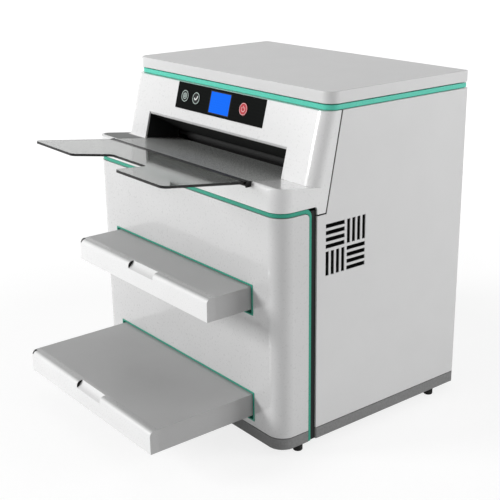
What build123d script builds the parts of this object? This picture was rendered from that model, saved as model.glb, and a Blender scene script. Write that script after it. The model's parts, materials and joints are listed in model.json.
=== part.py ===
from build123d import *
import math
import os

os.makedirs("parts", exist_ok=True)

# Desktop film printer. X points right, Y to the back, Z up, in millimetres.
# The origin is on the floor, midway between the drawn cassette front and the back of the housing.

# Film and cassettes
film_width = 355.6
film_length = 431.8
film_stack = 20.0
film_play = 3.0
cassette_height = 38.0
cassette_rib = 13.2
cassette_wall = 3.0
cassette_cap = 16.0
cassette_overhang = 85.5
lower_pull = 112.0
cassette_gap = 1.4
cassette_side_gap = 1.6
opening_left_room = 8.0
cassette_drop = 7.5
level_pitch = 186.0
lower_clearance = 21.0

# Housing
rail_space = 14.0
side_space = 55.0
rear_room = 35.7
foot_height = 13.0
plinth_height = 19.0
plinth_seam = 1.2
reveal_height = 10.4
cover_height = 18.6
door_head = 122.5
trim_band = 8.0
front_depth = 59.0
trim_depth = 5.5
groove_width = 1.2
groove_depth = 3.0
frame_depth = 10.5
door_radius = 27.0
top_radius = 20.0
back_radius = 2.5
shell_wall = 3.5
panel_wall = 4.0
plinth_wall = 3.0
seam_gap = 2.4
seam_depth = 17.0
seam_drop = 13.0
seam_lean = 11.4

# Shelf, slot and fascia
block_height = 39.0
shelf_slope = 7.5
shelf_depth = 65.5
shelf_thickness = 7.0
shelf_edge_radius = 5.0
fascia_lean = 14.7
slot_margin = 11.2
slot_left_room = 10.0
slot_rise = 43.0
slot_bevel = 5.0
guide_margin = 7.0
guide_thickness = 4.0
guide_reach = 138.0
tray_margin = 6.0
tray_length = 154.5
panel_gap = 17.96
panel_height = 45.4
panel_top_margin = 0.4

# Chassis
chassis_sheet = 2.0
rear_sheet = 3.0
rear_recess = 3.0

# Fits shared by every cut, shaft and sliding piece
overrun = 10.0
running_gap = 0.05
close_gap = 0.4

# Places that follow from the sizes above
cassette_half = film_width / 2 + film_play + cassette_rib
chassis_half_width = cassette_half + rail_space
half_width = chassis_half_width + side_space
slot_half_width = film_width / 2 + slot_margin
guide_half_width = slot_half_width + guide_margin
tray_half_width = slot_half_width + tray_margin
cassette_length = cassette_cap + film_length + 2 * film_play + cassette_wall
body_depth = cassette_length - cassette_overhang + rear_room
total_depth = body_depth + cassette_overhang + lower_pull
back_y = total_depth / 2
door_y = back_y - body_depth
trim_y = door_y + front_depth
frame_y = trim_y + trim_depth
body_y = frame_y + frame_depth
floor_z = foot_height + plinth_height
shell_z = floor_z + plinth_seam
rear_y = back_y - rear_recess
rear_inner_y = rear_y - rear_sheet
lower_z = floor_z + lower_clearance
upper_z = lower_z + level_pitch
door_top_z = upper_z + cassette_height + door_head
trim_top_z = door_top_z + trim_band
closed_front_y = door_y - cassette_overhang
closed_back_y = closed_front_y + cassette_length
shelf_edge_z = trim_top_z + block_height
fascia_foot_y = door_y + shelf_depth
slope = math.radians(shelf_slope)
lean = math.radians(fascia_lean)


def span_box(x_span, y_span, z_span):
    """Solid box between a low and a high value on each axis."""
    spans = (x_span, y_span, z_span)
    sizes = [high - low for low, high in spans]
    middles = [(high + low) / 2 for low, high in spans]
    return Pos(*middles) * Box(*sizes)


def around(middle, size):
    """Low and high value of a span that is centred on a place."""
    return middle - size / 2, middle + size / 2


def rod(x_span, y, z, radius):
    """Round bar along X."""
    low, high = x_span
    return Pos((low + high) / 2, y, z) * Rot(0, 90, 0) * Cylinder(radius, high - low)


def side_prism(points, x_span, corner=None, radius=0):
    """Outline given as (y, z) points, extruded along X, with one corner rounded if asked."""
    low, high = x_span
    outline = Polygon(*points, align=None)
    if corner:
        outline = fillet(outline.vertices().sort_by_distance((*corner, 0))[0], radius)
    return Pos(low, 0, 0) * extrude(Plane.YZ * outline, high - low, dir=(1, 0, 0))


def mirrored(shape):
    """The same piece on the left side."""
    return mirror(shape, Plane.YZ)


def both_sides(shape):
    """A piece and its mirror image as one group."""
    return Compound([shape, mirrored(shape)])


def rounded_plan(half, front, back, front_corner, back_corner=0):
    """Plan outline with its own corner radius at the front and at the back."""
    outline = Pos(0, (front + back) / 2) * Rectangle(2 * half, back - front)
    outline = fillet(outline.vertices().group_by(Axis.Y)[0], front_corner)
    if back_corner:
        outline = fillet(outline.vertices().group_by(Axis.Y)[-1], back_corner)
    return outline


def upright(plan, low, high):
    """Plan outline raised from one height to another."""
    return Pos(0, 0, low) * extrude(plan, high - low)


def shelf_z(y):
    """Height of the shelf surface, which rises towards the front."""
    return shelf_edge_z - (y - door_y) * math.tan(slope)


def above_film(y, offset):
    """Point at a distance square to the film path, as (y, z)."""
    return y + offset * math.sin(slope), shelf_z(y) + offset * math.cos(slope)


fascia_foot_z = shelf_z(fascia_foot_y)
slot_top_z = fascia_foot_z + slot_rise
side_top_z = slot_top_z + slot_bevel + panel_gap + (panel_height + panel_top_margin) * math.cos(lean)
cover_z = side_top_z + reveal_height
top_z = cover_z + cover_height


def fascia_y(z):
    """Front surface of the leaning fascia."""
    return fascia_foot_y + (z - fascia_foot_z) * math.tan(lean)


def fascia_plane(x, z):
    """Frame on the fascia surface: X right, Y up the slope, Z outwards."""
    origin = (x, fascia_y(z), z)
    return Plane(origin=origin, x_dir=(1, 0, 0), z_dir=(0, -math.cos(lean), math.sin(lean)))


def save(node, shape):
    """Write one piece under its own name."""
    export_step(shape, f"parts/{node}.step")


# Plinths and feet


def plinth_tray(plan, inner_plan):
    """Open tray: a floor and a wall all round."""
    outer = upright(plan, foot_height, floor_z)
    inner = upright(inner_plan, foot_height + plinth_wall, floor_z + overrun)
    return outer - inner


def front_plinth():
    inset = plinth_wall
    plan = rounded_plan(half_width, door_y, trim_y, door_radius)
    inner = rounded_plan(half_width - inset, door_y + inset, trim_y - inset, door_radius - inset)
    return plinth_tray(plan, inner)


def body_plinth():
    inset = plinth_wall
    plan = rounded_plan(half_width, body_y, back_y, plinth_wall, back_radius)
    inner_half = half_width - inset
    inner = Pos(0, (body_y + back_y) / 2) * Rectangle(2 * inner_half, back_y - body_y - 2 * inset)
    return plinth_tray(plan, inner)


foot_radius = 8.0
foot_round = 2.0
foot_inset = 10.0
front_foot_y = 45.0
rear_foot_inset = 52.0


def rubber_feet():
    foot = Cylinder(foot_radius, foot_height)
    foot = fillet(foot.edges().group_by(Axis.Z)[0], foot_round)
    x = half_width - foot_inset
    rows = (door_y + front_foot_y, back_y - rear_foot_inset)
    places = [(side * x, y) for side in (-1, 1) for y in rows]
    return Compound([Pos(px, py, foot_height / 2) * foot for px, py in places])


def base_plate():
    x = half_width - plinth_wall - close_gap
    y_span = (body_y + plinth_wall + close_gap, rear_inner_y - close_gap)
    z = foot_height + plinth_wall
    return span_box((-x, x), y_span, (z, z + chassis_sheet))


# Front unit: door panel, teal trim, opening frames and the black frame behind them

door_top_round = 8.0
opening_half = cassette_half + cassette_side_gap
opening_frame = 2.2
opening_lip = 1.2
trim_recess = 1.0
frame_recess = 3.0


def opening_box(level_z, y_span, grow=0.0):
    """Way through for one cassette, widened by the opening frame where it sits."""
    x = opening_half + grow
    low = level_z - cassette_drop - grow
    high = level_z + cassette_height + cassette_gap + grow
    return span_box((-x - opening_left_room, x), y_span, (low, high))


def cut_openings(shape, y_span, grow=0.0):
    """Both cassette openings through one piece."""
    for level_z in (lower_z, upper_z):
        shape -= opening_box(level_z, y_span, grow)
    return shape


def door_form(inset, back, low, high, top_round):
    """Rounded front unit, inset from the door surface, with its top back edge rounded."""
    radius = door_radius - inset
    plan = rounded_plan(half_width - inset, door_y + inset, back, radius)
    form = upright(plan, low, high)
    top_back = form.edges().filter_by(Axis.X).group_by(Axis.Z)[-1].sort_by(Axis.Y)[-1]
    return fillet(top_back, top_round)


def front_door():
    outer = door_form(0, trim_y, shell_z, door_top_z, door_top_round)
    inner_plan = rounded_plan(half_width - shell_wall, door_y + shell_wall, trim_y + overrun,
                              door_radius - shell_wall)
    inner = upright(inner_plan, floor_z - overrun, door_top_z - shell_wall)
    shell = outer - inner
    return cut_openings(shell, (door_y - overrun, trim_y + overrun), opening_frame)


def bay_frames():
    """Two teal frames that line the cassette openings and stand just proud of the door."""
    frames = []
    for level_z in (lower_z, upper_z):
        frame = opening_box(level_z, (door_y - opening_lip, trim_y), opening_frame)
        frames.append(frame - opening_box(level_z, (door_y - overrun, trim_y + overrun)))
    return Compound(frames)


def door_trim():
    """Teal plate behind and above the door, seen as a line between two narrow grooves."""
    outer_round = door_top_round + trim_depth
    outer = door_form(trim_recess, frame_y, foot_height, trim_top_z, outer_round)
    door_space = door_form(0, trim_y, foot_height - overrun, door_top_z, door_top_round)
    sides = span_box((-half_width, half_width), (door_y, trim_y), (foot_height - overrun, floor_z))
    low, high = door_top_z + groove_width, trim_top_z - groove_width
    inset = trim_recess + groove_depth
    core_plan = rounded_plan(half_width - inset, door_y + inset, frame_y + overrun, door_radius - inset)
    core = upright(core_plan, foot_height - overrun, trim_top_z + overrun)
    beside_door = door_form(0, trim_y + groove_width, foot_height - overrun, low, door_top_round + groove_width)
    above = span_box((-half_width, half_width), (door_y, frame_y), (high, trim_top_z))
    outer -= beside_door - core
    outer -= above - core
    return cut_openings(outer - door_space - sides, (door_y, frame_y + overrun))


def front_frame():
    """Black frame that carries the front unit and shows as a dark gap beside it."""
    x = half_width - frame_recess
    frame = span_box((-x, x), (frame_y, body_y), (foot_height, trim_top_z - trim_depth))
    return cut_openings(frame, (frame_y - overrun, body_y + overrun))


# Side panels, their vents and filters

vent_y = 135.0
vent_height = 301.5
vent_block = 39.5
vent_gap = 5.0
vent_slot = 6.6
vent_slots = 4
vent_wall = 1.4
filter_margin = 4.0
filter_depth = 5.0
tab_z = trim_top_z - seam_drop
seam_run = math.tan(math.radians(seam_lean))


def seam_y(z):
    """Leaning seam between the fascia and the side panel."""
    return body_y + seam_depth + (z - tab_z) * seam_run


def vent_cuts():
    """Four blocks of slots: two across, two upright."""
    pitch = (vent_block - vent_slot) / (vent_slots - 1)
    step = (vent_block + vent_gap) / 2
    x_span = (half_width - panel_wall - overrun, half_width + overrun)
    cuts = []
    for row in (-1, 1):
        for column in (-1, 1):
            middle_y = door_y + vent_y + column * step
            middle_z = floor_z + vent_height + row * step
            for index in range(vent_slots):
                shift = (index - (vent_slots - 1) / 2) * pitch
                if row != column:
                    y_span = around(middle_y, vent_block)
                    z_span = around(middle_z + shift, vent_slot)
                else:
                    y_span = around(middle_y + shift, vent_slot)
                    z_span = around(middle_z, vent_block)
                cuts.append(span_box(x_span, y_span, z_span))
    return cuts


def side_panel():
    low_z = tab_z - seam_gap
    outline = [
        (body_y, shell_z),
        (body_y, low_z),
        (seam_y(low_z) + seam_gap, low_z),
        (seam_y(side_top_z) + seam_gap, side_top_z),
        (back_y, side_top_z),
        (back_y, shell_z),
    ]
    panel = side_prism(outline, (half_width - panel_wall, half_width))
    panel = fillet(panel.edges().filter_by(Axis.Z).sort_by(Axis.Y)[-2:].sort_by(Axis.X)[-1], panel_wall / 2)
    for cut in vent_cuts():
        panel -= cut
    return panel - filter_space(close_gap)


def filter_space(gap):
    """Room for the filter behind the thin slotted wall."""
    size = 2 * (vent_block + filter_margin + gap) + vent_gap
    x = half_width - vent_wall
    return span_box((x - filter_depth, x), around(door_y + vent_y, size), around(floor_z + vent_height, size))


# Top trim and top cover

top_trim_recess = 1.5
top_trim_width = 26.0
shadow_height = 2.0
shadow_depth = 7.0
cover_wall = 4.0
cover_edge_round = 1.2
cover_front = 99.0
cover_back_radius = 4.0


def top_plan(inset):
    front = door_y + cover_front + inset
    back_corner = max(cover_back_radius - inset, 0)
    return rounded_plan(half_width - inset, front, back_y - inset, top_radius - inset, back_corner)


def top_trim():
    """Teal frame, stepped back above and below so that dark lines show."""
    shadow_z = cover_z - shadow_height
    groove_z = side_top_z + groove_width
    outer = upright(top_plan(top_trim_recess + groove_depth), side_top_z, groove_z)
    outer += upright(top_plan(top_trim_recess), groove_z, shadow_z)
    outer += upright(top_plan(top_trim_recess + shadow_depth), shadow_z, cover_z)
    inner_half = half_width - top_trim_width
    y_span = (door_y + cover_front + top_trim_width, back_y - top_trim_width)
    return outer - span_box((-inner_half, inner_half), y_span, (side_top_z - overrun, cover_z + overrun))


def top_cover():
    outer = upright(top_plan(0), cover_z, top_z)
    outer = fillet(outer.edges().group_by(Axis.Z)[-1], cover_edge_round)
    inner = upright(top_plan(cover_wall), cover_z - overrun, top_z - cover_wall)
    return outer - inner


# Upper fascia: a block with a rising shelf on top, and a leaning front above it

shelf_fit = 0.3
fascia_roof = 2.5
fascia_span = (-half_width, half_width)
shelf_fall = math.tan(slope)
join_y = body_y + seam_depth + (shelf_edge_z + door_y * shelf_fall - tab_z) * seam_run
join_y /= 1 + shelf_fall * seam_run


def fascia_block(inset, back):
    """Rounded block below the shelf, without its side outline."""
    plan = rounded_plan(half_width - inset, door_y + inset, back, door_radius - inset)
    return upright(plan, tab_z - overrun, shelf_edge_z + overrun)


def fascia_front(inset, back):
    """Leaning front with rounded corners, without its side outline."""
    low = fascia_foot_z - shelf_depth / 2
    front = fascia_y(low) + inset / math.cos(lean)
    plan = rounded_plan(half_width - inset, front, back, top_radius - inset)
    length = (side_top_z + overrun - low) / math.cos(lean)
    return Pos(0, 0, low) * extrude(plan, length, dir=(0, math.sin(lean), math.cos(lean)))


def fascia_shell():
    """Outer form less the hollow behind it; a thick shelf and a thin roof under the trim stay."""
    top_y = seam_y(side_top_z)
    back = top_y + overrun
    block_side = [
        (door_y, trim_top_z),
        (door_y, shelf_z(door_y)),
        (join_y, shelf_z(join_y)),
        (seam_y(tab_z), tab_z),
        (body_y, tab_z),
        (body_y, trim_top_z),
    ]
    front_side = [
        (door_y, shelf_z(door_y)),
        (join_y, shelf_z(join_y)),
        (top_y, side_top_z),
        (door_y, side_top_z),
    ]
    edge = (door_y, shelf_z(door_y))
    block = fascia_block(0, back) & side_prism(block_side, fascia_span, edge, shelf_edge_radius)
    front = fascia_front(0, back) & side_prism(front_side, fascia_span)
    under = shelf_thickness / math.cos(slope)
    hollow_low = tab_z - overrun
    block_hollow_side = [
        (door_y, hollow_low),
        (door_y, shelf_z(door_y) - under),
        (back, shelf_z(back) - under),
        (back, hollow_low),
    ]
    front_hollow_side = [
        (door_y, shelf_z(door_y)),
        (back, shelf_z(back)),
        (back, side_top_z - fascia_roof),
        (door_y, side_top_z - fascia_roof),
    ]
    corner_y, corner_z = body_y - trim_depth, trim_top_z - trim_depth
    corner = span_box(fascia_span, (corner_y, body_y), (corner_z, trim_top_z))
    corner -= rod(fascia_span, corner_y, corner_z, trim_depth)
    block += fascia_block(0, back) & corner
    block_hollow = fascia_block(shell_wall, back) & side_prism(block_hollow_side, fascia_span)
    front_hollow = fascia_front(shell_wall, back) & side_prism(front_hollow_side, fascia_span)
    return block + front - block_hollow - front_hollow


def guide_outline(front, back):
    """Side outline of a plate that lies flush in the shelf."""
    drop = guide_thickness / math.cos(slope)
    return [(front, shelf_z(front)), (back, shelf_z(back)), (back, shelf_z(back) - drop), (front, shelf_z(front) - drop)]


def slot_cut():
    """Film slot: open down to the shelf, with a bevelled upper lip."""
    x_span = (-slot_half_width - slot_left_room, slot_half_width)
    front = fascia_foot_y - shelf_depth / 2
    back = seam_y(slot_top_z)
    opening = [(front, shelf_z(front)), (back, shelf_z(back)), (back, slot_top_z), (front, slot_top_z)]
    bevel_z = slot_top_z + slot_bevel
    lip = [
        (front, slot_top_z),
        (fascia_y(slot_top_z) + shell_wall / math.cos(lean), slot_top_z),
        (fascia_y(bevel_z), bevel_z),
        (front, bevel_z),
    ]
    return side_prism(opening, x_span) + side_prism(lip, x_span)


# Control panel, screen and buttons, all square to the leaning fascia

panel_half_width = 122.0
panel_thickness = 1.5
panel_recess = 1.0
panel_corner = 1.5
screen_width = 58.0
screen_height = 38.4
screen_shift = 3.0
screen_sink = 0.15
button_radius = 10.4
button_flange = 2.0
button_flange_thickness = 1.2
button_proud = 0.8
button_edge = 0.6
button_travel = 0.8
button_gap = 0.1
button_stem_radius = 3.0
button_stem = 1.2
menu_x = -97.0
select_x = -64.0
power_x = 68.0
key_board_depth = 9.0
key_board_sheet = 1.6
key_board_margin = 5.0
key_post_radius = 2.5

panel_z = side_top_z - (panel_top_margin + panel_height / 2) * math.cos(lean)
flange_top = -shell_wall - button_gap
flange_low = flange_top - button_flange_thickness
stem_low = flange_low - button_stem


def on_fascia(shape, x=0.0):
    """Place a shape that was drawn on the fascia surface."""
    return fascia_plane(x, panel_z) * shape


def slab(width, height, low, high, corner=0.0):
    """Plate between two depths of the fascia frame."""
    outline = RectangleRounded(width, height, corner) if corner else Rectangle(width, height)
    return Pos(0, 0, low) * extrude(outline, high - low)


def disc(radius, low, high):
    """Round piece between two depths of the fascia frame."""
    return Pos(0, 0, (low + high) / 2) * Cylinder(radius, high - low)


def button_holes(low, high):
    """Clearance holes for the three buttons."""
    holes = [on_fascia(disc(button_radius + close_gap, low, high), x) for x in (menu_x, select_x, power_x)]
    return holes


def upper_fascia():
    shell = fascia_shell() - slot_cut()
    guide_x = guide_half_width + shelf_fit
    recess = side_prism(guide_outline(door_y - overrun, back_y), (-guide_x, guide_x))
    shell -= recess
    width = 2 * (panel_half_width + shelf_fit)
    height = panel_height + 2 * shelf_fit
    shell -= on_fascia(slab(width, height, -panel_recess, overrun))
    for hole in button_holes(-shell_wall - overrun, overrun):
        shell -= hole
    return shell


def control_panel():
    proud = panel_thickness - panel_recess
    panel = on_fascia(slab(2 * panel_half_width, panel_height, -panel_recess, proud, panel_corner))
    window = on_fascia(slab(screen_width, screen_height, -overrun, overrun), screen_shift)
    panel -= window
    for hole in button_holes(-overrun, overrun):
        panel -= hole
    return panel


def display_screen():
    high = panel_thickness - panel_recess - screen_sink
    return on_fascia(slab(screen_width, screen_height, -panel_recess, high), screen_shift)


def push_button(x):
    """Round cap with a flange that holds it behind the fascia and a stem for its switch."""
    top = panel_thickness - panel_recess + button_proud
    cap = disc(button_radius, flange_top, top)
    cap = fillet(cap.edges().group_by(Axis.Z)[-1], button_edge)
    flange = disc(button_radius + button_flange, flange_low, flange_top)
    stem = disc(button_stem_radius, stem_low, flange_low)
    return on_fascia(cap + flange + stem, x)


def key_board():
    """Board behind the buttons, hung from four posts, with a switch under each stem."""
    front = -key_board_depth
    width = 2 * (panel_half_width - key_board_margin)
    height = panel_height - 2 * key_board_margin
    board = slab(width, height, front - key_board_sheet, front)
    post_x = width / 2 - key_post_radius
    post_y = height / 2 - key_post_radius
    for side in (-1, 1):
        for level in (-1, 1):
            board += Pos(side * post_x, level * post_y, 0) * disc(key_post_radius, front, -shell_wall)
    switch_top = stem_low - button_travel - button_gap
    for x in (menu_x, select_x, power_x):
        board += Pos(x, 0, 0) * disc(button_stem_radius, front, switch_top)
    return on_fascia(board)


# Slot liner and film guide plate

liner_wall = 2.0
liner_back_rise = 16.0
guide_start = 0.8
guide_y_span = (door_y + guide_start, door_y + guide_reach)


def slot_liner():
    """Black hood behind the slot: a sloping roof and two cheeks that stand on the guide plate."""
    wall_y = shell_wall / math.cos(lean)
    front_top = (fascia_y(slot_top_z) + wall_y, slot_top_z)
    roof_z = slot_top_z + liner_wall
    back = door_y + guide_reach
    back_top_z = shelf_z(back) + liner_back_rise
    foot_y = fascia_foot_y + wall_y
    outer = [
        (foot_y, shelf_z(foot_y)),
        (fascia_y(roof_z) + wall_y, roof_z),
        (back, back_top_z + liner_wall),
        (back, shelf_z(back)),
    ]
    low = shelf_z(back) - overrun
    inner = [
        (door_y, low),
        (door_y, slot_top_z),
        front_top,
        (back, back_top_z),
        (back + overrun, back_top_z),
        (back + overrun, low),
    ]
    low_x = -slot_half_width - slot_left_room
    hood = side_prism(outer, (low_x - liner_wall, slot_half_width + liner_wall))
    return hood - side_prism(inner, (low_x, slot_half_width))


def film_guide_plate():
    return side_prism(guide_outline(*guide_y_span), (-guide_half_width, guide_half_width))


# Output tray: a smoked plate on a thin hinge bar, between two ears with pins

hinge_ahead = 2.8
hinge_bar_radius = 2.4
hinge_pin_radius = 0.8
hinge_pin_length = 8.0
tray_corner = 9.0
notch_depth = 66.0
notch_front_half = 66.0
notch_back_half = 52.0
notch_corner = 8.0
ear_thickness = 3.0
ear_reach = 9.5
ear_rise = 2.6
ear_drop = 6.0
peg_radius = 1.5
peg_length = 12.0
peg_ahead = 5.5

hinge_y, hinge_z = above_film(door_y - hinge_ahead, -guide_thickness / 2)
tray_plane = Plane(origin=(0, hinge_y, hinge_z), x_dir=(1, 0, 0), z_dir=(0, math.sin(slope), math.cos(slope)))


def output_tray():
    """Plate with a hand notch in its front edge; its back edge is let into the hinge bar."""
    plate = Pos(0, -tray_length / 2) * Rectangle(2 * tray_half_width, tray_length)
    front = -tray_length
    notch = Polygon(
        (-notch_front_half, front),
        (-notch_back_half, front + notch_depth),
        (notch_back_half, front + notch_depth),
        (notch_front_half, front),
        align=None,
    )
    plate -= notch
    corners = plate.vertices().group_by(Axis.Y)
    front_corners = corners[0].sort_by(Axis.X)
    plate = fillet([front_corners[0], front_corners[-1]], tray_corner)
    tips = plate.vertices().group_by(Axis.Y)[0].sort_by(Axis.X)
    inner = plate.vertices().filter_by(lambda v: abs(v.Y - front - notch_depth) < notch_corner / 2)
    mouth = [tip for tip in tips if abs(abs(tip.X) - notch_front_half) < notch_corner / 2]
    plate = fillet([*inner, *mouth], notch_corner)
    flap = Pos(0, 0, -guide_thickness / 2) * extrude(plate, guide_thickness)
    bar_space = rod((-half_width, half_width), 0, 0, hinge_bar_radius)
    return tray_plane * (flap - bar_space)


def tray_hinge_bar():
    """Thin bar along the back edge of the tray, bored at both ends."""
    bar = rod((-tray_half_width, tray_half_width), 0, 0, hinge_bar_radius)
    bore_radius = hinge_pin_radius + running_gap
    bore = rod((tray_half_width - hinge_pin_length, tray_half_width + overrun), 0, 0, bore_radius)
    return tray_plane * (bar - bore - mirrored(bore))


def tray_ears():
    """Two ears on the block front, each with a hinge pin and a peg that the tray rests on."""
    inner_x = tray_half_width + close_gap
    x_span = (inner_x, inner_x + ear_thickness)
    outline = [
        (door_y, hinge_z - ear_drop),
        (door_y, hinge_z + ear_rise),
        (hinge_y - ear_rise, hinge_z + ear_rise),
        (door_y - ear_reach, hinge_z),
        (door_y - ear_reach, hinge_z - ear_drop),
    ]
    ear = side_prism(outline, x_span)
    pin_x = tray_half_width - hinge_pin_length + close_gap
    pin = rod((pin_x, inner_x), 0, 0, hinge_pin_radius)
    peg_z = -guide_thickness / 2 - running_gap - peg_radius
    peg = rod((inner_x - peg_length, inner_x), -peg_ahead, peg_z, peg_radius)
    return both_sides(ear + tray_plane * (pin + peg))


# Cassettes: tub, lid, front cap with a finger scoop, and the film inside

tub_height = 33.5
tub_floor = 2.5
tub_rib = 2.0
tub_back_height = 22.0
lid_gap = 7.5
pick_reach = 300.0
pick_radius = 18.0
cap_edge_round = 8.0
scoop_half_width = 37.4
scoop_shift = 7.0
scoop_radius = 40.0
scoop_offset = 22.0
pick_y = door_y + pick_reach
lid_back_y = pick_y - pick_radius - lid_gap
well_half = film_width / 2 + film_play
full_cassette = (-cassette_half, cassette_half)


def cassette_tub(level_z, pull):
    """Tray with a film well between two ribs and a low back wall that the film passes over."""
    front = closed_front_y - pull + cassette_cap
    back = closed_back_y - pull
    top = level_z + tub_height
    z_span = (level_z + tub_floor, top + overrun)
    y_span = (front - overrun, back - cassette_wall)
    channel = span_box((well_half + tub_rib, cassette_half - cassette_wall), y_span, z_span)
    tub = span_box(full_cassette, (front, back), (level_z, top))
    tub -= span_box((-well_half, well_half), y_span, z_span)
    tub = tub - channel - mirrored(channel)
    over_back = (level_z + tub_back_height, top + overrun)
    return tub - span_box((-well_half, well_half), (front, back + overrun), over_back)


def cassette_lid(level_z, pull):
    """Flat lid that leaves the back of the film open for the pick roller."""
    y_span = (closed_front_y - pull + cassette_cap, lid_back_y - pull)
    return span_box(full_cassette, y_span, (level_z + tub_height, level_z + cassette_height))


def cassette_front(level_z, pull):
    """Thick front cap with a rounded top edge and a concave finger scoop."""
    front = closed_front_y - pull
    top = level_z + cassette_height
    cap = span_box(full_cassette, (front, front + cassette_cap), (level_z, top))
    top_front = cap.edges().filter_by(Axis.X).group_by(Axis.Z)[-1].sort_by(Axis.Y)[0]
    cap = fillet(top_front, cap_edge_round)
    x_span = around(scoop_shift, 2 * scoop_half_width)
    return cap - rod(x_span, front - scoop_offset, top + scoop_offset, scoop_radius)


def cassette_film(level_z, pull):
    """Stack of film sheets on the tub floor."""
    front = closed_front_y - pull + cassette_cap + film_play
    low = level_z + tub_floor
    return span_box(around(0, film_width), (front, front + film_length), (low, low + film_stack))


# Rails for the cassettes, fixed between the chassis plates

rail_lip = 10.0
rail_height = 20.0
rail_stop = 2.0


def cassette_rail(level_z):
    """Folded rail: a shelf under the tub, a guiding wall beside it and a stop behind it."""
    wall_x = cassette_half + close_gap
    shelf = level_z - close_gap
    top = level_z + rail_height
    stop_y = closed_back_y + close_gap
    y_span = (body_y, stop_y + rail_stop)
    x_span = (cassette_half - rail_lip, chassis_half_width)
    rail = span_box(x_span, y_span, (shelf - chassis_sheet, shelf))
    rail += span_box((wall_x, wall_x + chassis_sheet), y_span, (shelf, top))
    rail += span_box((wall_x, chassis_half_width), y_span, (top - chassis_sheet, top))
    return rail + span_box(x_span, (stop_y, stop_y + rail_stop), (shelf, top))


def cassette_rails():
    rails = [cassette_rail(level_z) for level_z in (lower_z, upper_z)]
    return Compound([*rails, *[mirrored(rail) for rail in rails]])


# Film path: up behind the cassettes, round a bend and forward along the shelf plane

channel_room = 21.0
film_space = 4.0
guide_sheet = 1.5
bend_radius = 90.0
platen_reach = 230.0
platen_radius = 12.0
platen_shaft_radius = 5.0
platen_margin = 2.2
exit_reach = 150.0
exit_radius = 9.0
exit_shaft_radius = 4.0
exit_margin = 1.8
nip_gap = 0.3
feed_radius = 9.0
feed_shaft_radius = 3.0
feed_margin = 4.2
feed_drop = 14.0
pick_shaft_radius = 4.0
pick_tyre = 24.0
pick_spread = 60.0
pick_clearance = 0.5
drive_gap = 3.0
drive_width = 7.0

platen_half = film_width / 2 + platen_margin
exit_half = film_width / 2 - exit_margin
feed_half = film_width / 2 + feed_margin
chassis_span = (-chassis_half_width, chassis_half_width)
chassis_outer = chassis_half_width + chassis_sheet
drive_span = (chassis_outer + drive_gap, chassis_outer + drive_gap + drive_width)
channel_y = rear_inner_y - channel_room
bend_y = channel_y - bend_radius
bend_z = shelf_z(bend_y) - bend_radius / math.cos(slope)
platen_y = door_y + platen_reach
exit_y = door_y + exit_reach
feed_z = bend_z - feed_drop
pick_rise = tub_floor + film_stack + pick_clearance + pick_radius
platen_place = above_film(platen_y, -platen_radius)
exit_place = above_film(exit_y, -exit_radius)
exit_idler_place = above_film(exit_y, exit_radius + nip_gap)
feed_place = (channel_y - feed_radius, feed_z)
feed_idler_place = (channel_y + feed_radius + nip_gap, feed_z)
upper_pick_place = (pick_y, upper_z + pick_rise)
lower_pick_place = (pick_y, lower_z + pick_rise)
shafts = [
    (platen_place, platen_shaft_radius),
    (exit_place, exit_shaft_radius),
    (exit_idler_place, exit_shaft_radius),
    (feed_place, feed_shaft_radius),
    (feed_idler_place, feed_shaft_radius),
    (upper_pick_place, pick_shaft_radius),
    (lower_pick_place, pick_shaft_radius),
]

# Bushes carry every shaft in the chassis plates

bush_wall = 2.0
bush_reach = 2.0
bush_flange = 1.5


def roller_bushes():
    bushes = []
    for (y, z), radius in shafts:
        x_span = (chassis_half_width, chassis_outer + bush_reach)
        flange_span = (chassis_outer, chassis_outer + bush_reach)
        bush = rod(x_span, y, z, radius + bush_wall) + rod(flange_span, y, z, radius + bush_wall + bush_flange)
        bush -= rod((0, half_width), y, z, radius + running_gap)
        bushes += [bush, mirrored(bush)]
    return Compound(bushes)


# Drive motor, its pinion and the platen gear

gear_module = 1.0
platen_teeth = 60
pinion_teeth = 20
tooth_backlash = 0.3
tooth_tip_ratio = 0.45
tooth_root_ratio = 1.35
tooth_depth_ratio = 1.25
drive_angle = 26.5
motor_size = 42.0
motor_length = 40.0
motor_chamfer = 4.0
motor_boss_radius = 11.0
motor_shaft_radius = 2.5
motor_bore_depth = 20.0

gear_distance = gear_module * (platen_teeth + pinion_teeth) / 2
drive_turn = math.radians(drive_angle)
motor_y = platen_place[0] - gear_distance * math.cos(drive_turn)
motor_z = platen_place[1] - gear_distance * math.sin(drive_turn)
motor_bore = motor_shaft_radius + running_gap


def gear(teeth, y, z, first_angle):
    """Spur gear with straight-sided teeth, one of them centred on the first angle."""
    pitch_radius = gear_module * teeth / 2
    half = math.pi * gear_module / 4 - tooth_backlash / 4
    root = pitch_radius - tooth_depth_ratio * gear_module
    tip = pitch_radius + gear_module
    corners = [(root, -half * tooth_root_ratio), (tip, -half * tooth_tip_ratio),
               (tip, half * tooth_tip_ratio), (root, half * tooth_root_ratio)]
    points = []
    for index in range(teeth):
        turn = first_angle + 2 * math.pi * index / teeth
        cos, sin = math.cos(turn), math.sin(turn)
        points += [(y + along * cos - across * sin, z + along * sin + across * cos) for along, across in corners]
    return side_prism(points, drive_span)


def platen_gear():
    wheel = gear(platen_teeth, *platen_place, drive_turn + math.pi)
    return wheel - rod(drive_span, *platen_place, platen_shaft_radius)


def motor_pinion():
    """Pinion in one piece with the motor shaft."""
    pinion = gear(pinion_teeth, motor_y, motor_z, drive_turn + math.pi / pinion_teeth)
    shaft_span = (chassis_half_width - motor_bore_depth + close_gap, drive_span[1])
    return pinion + rod(shaft_span, motor_y, motor_z, motor_shaft_radius)


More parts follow.
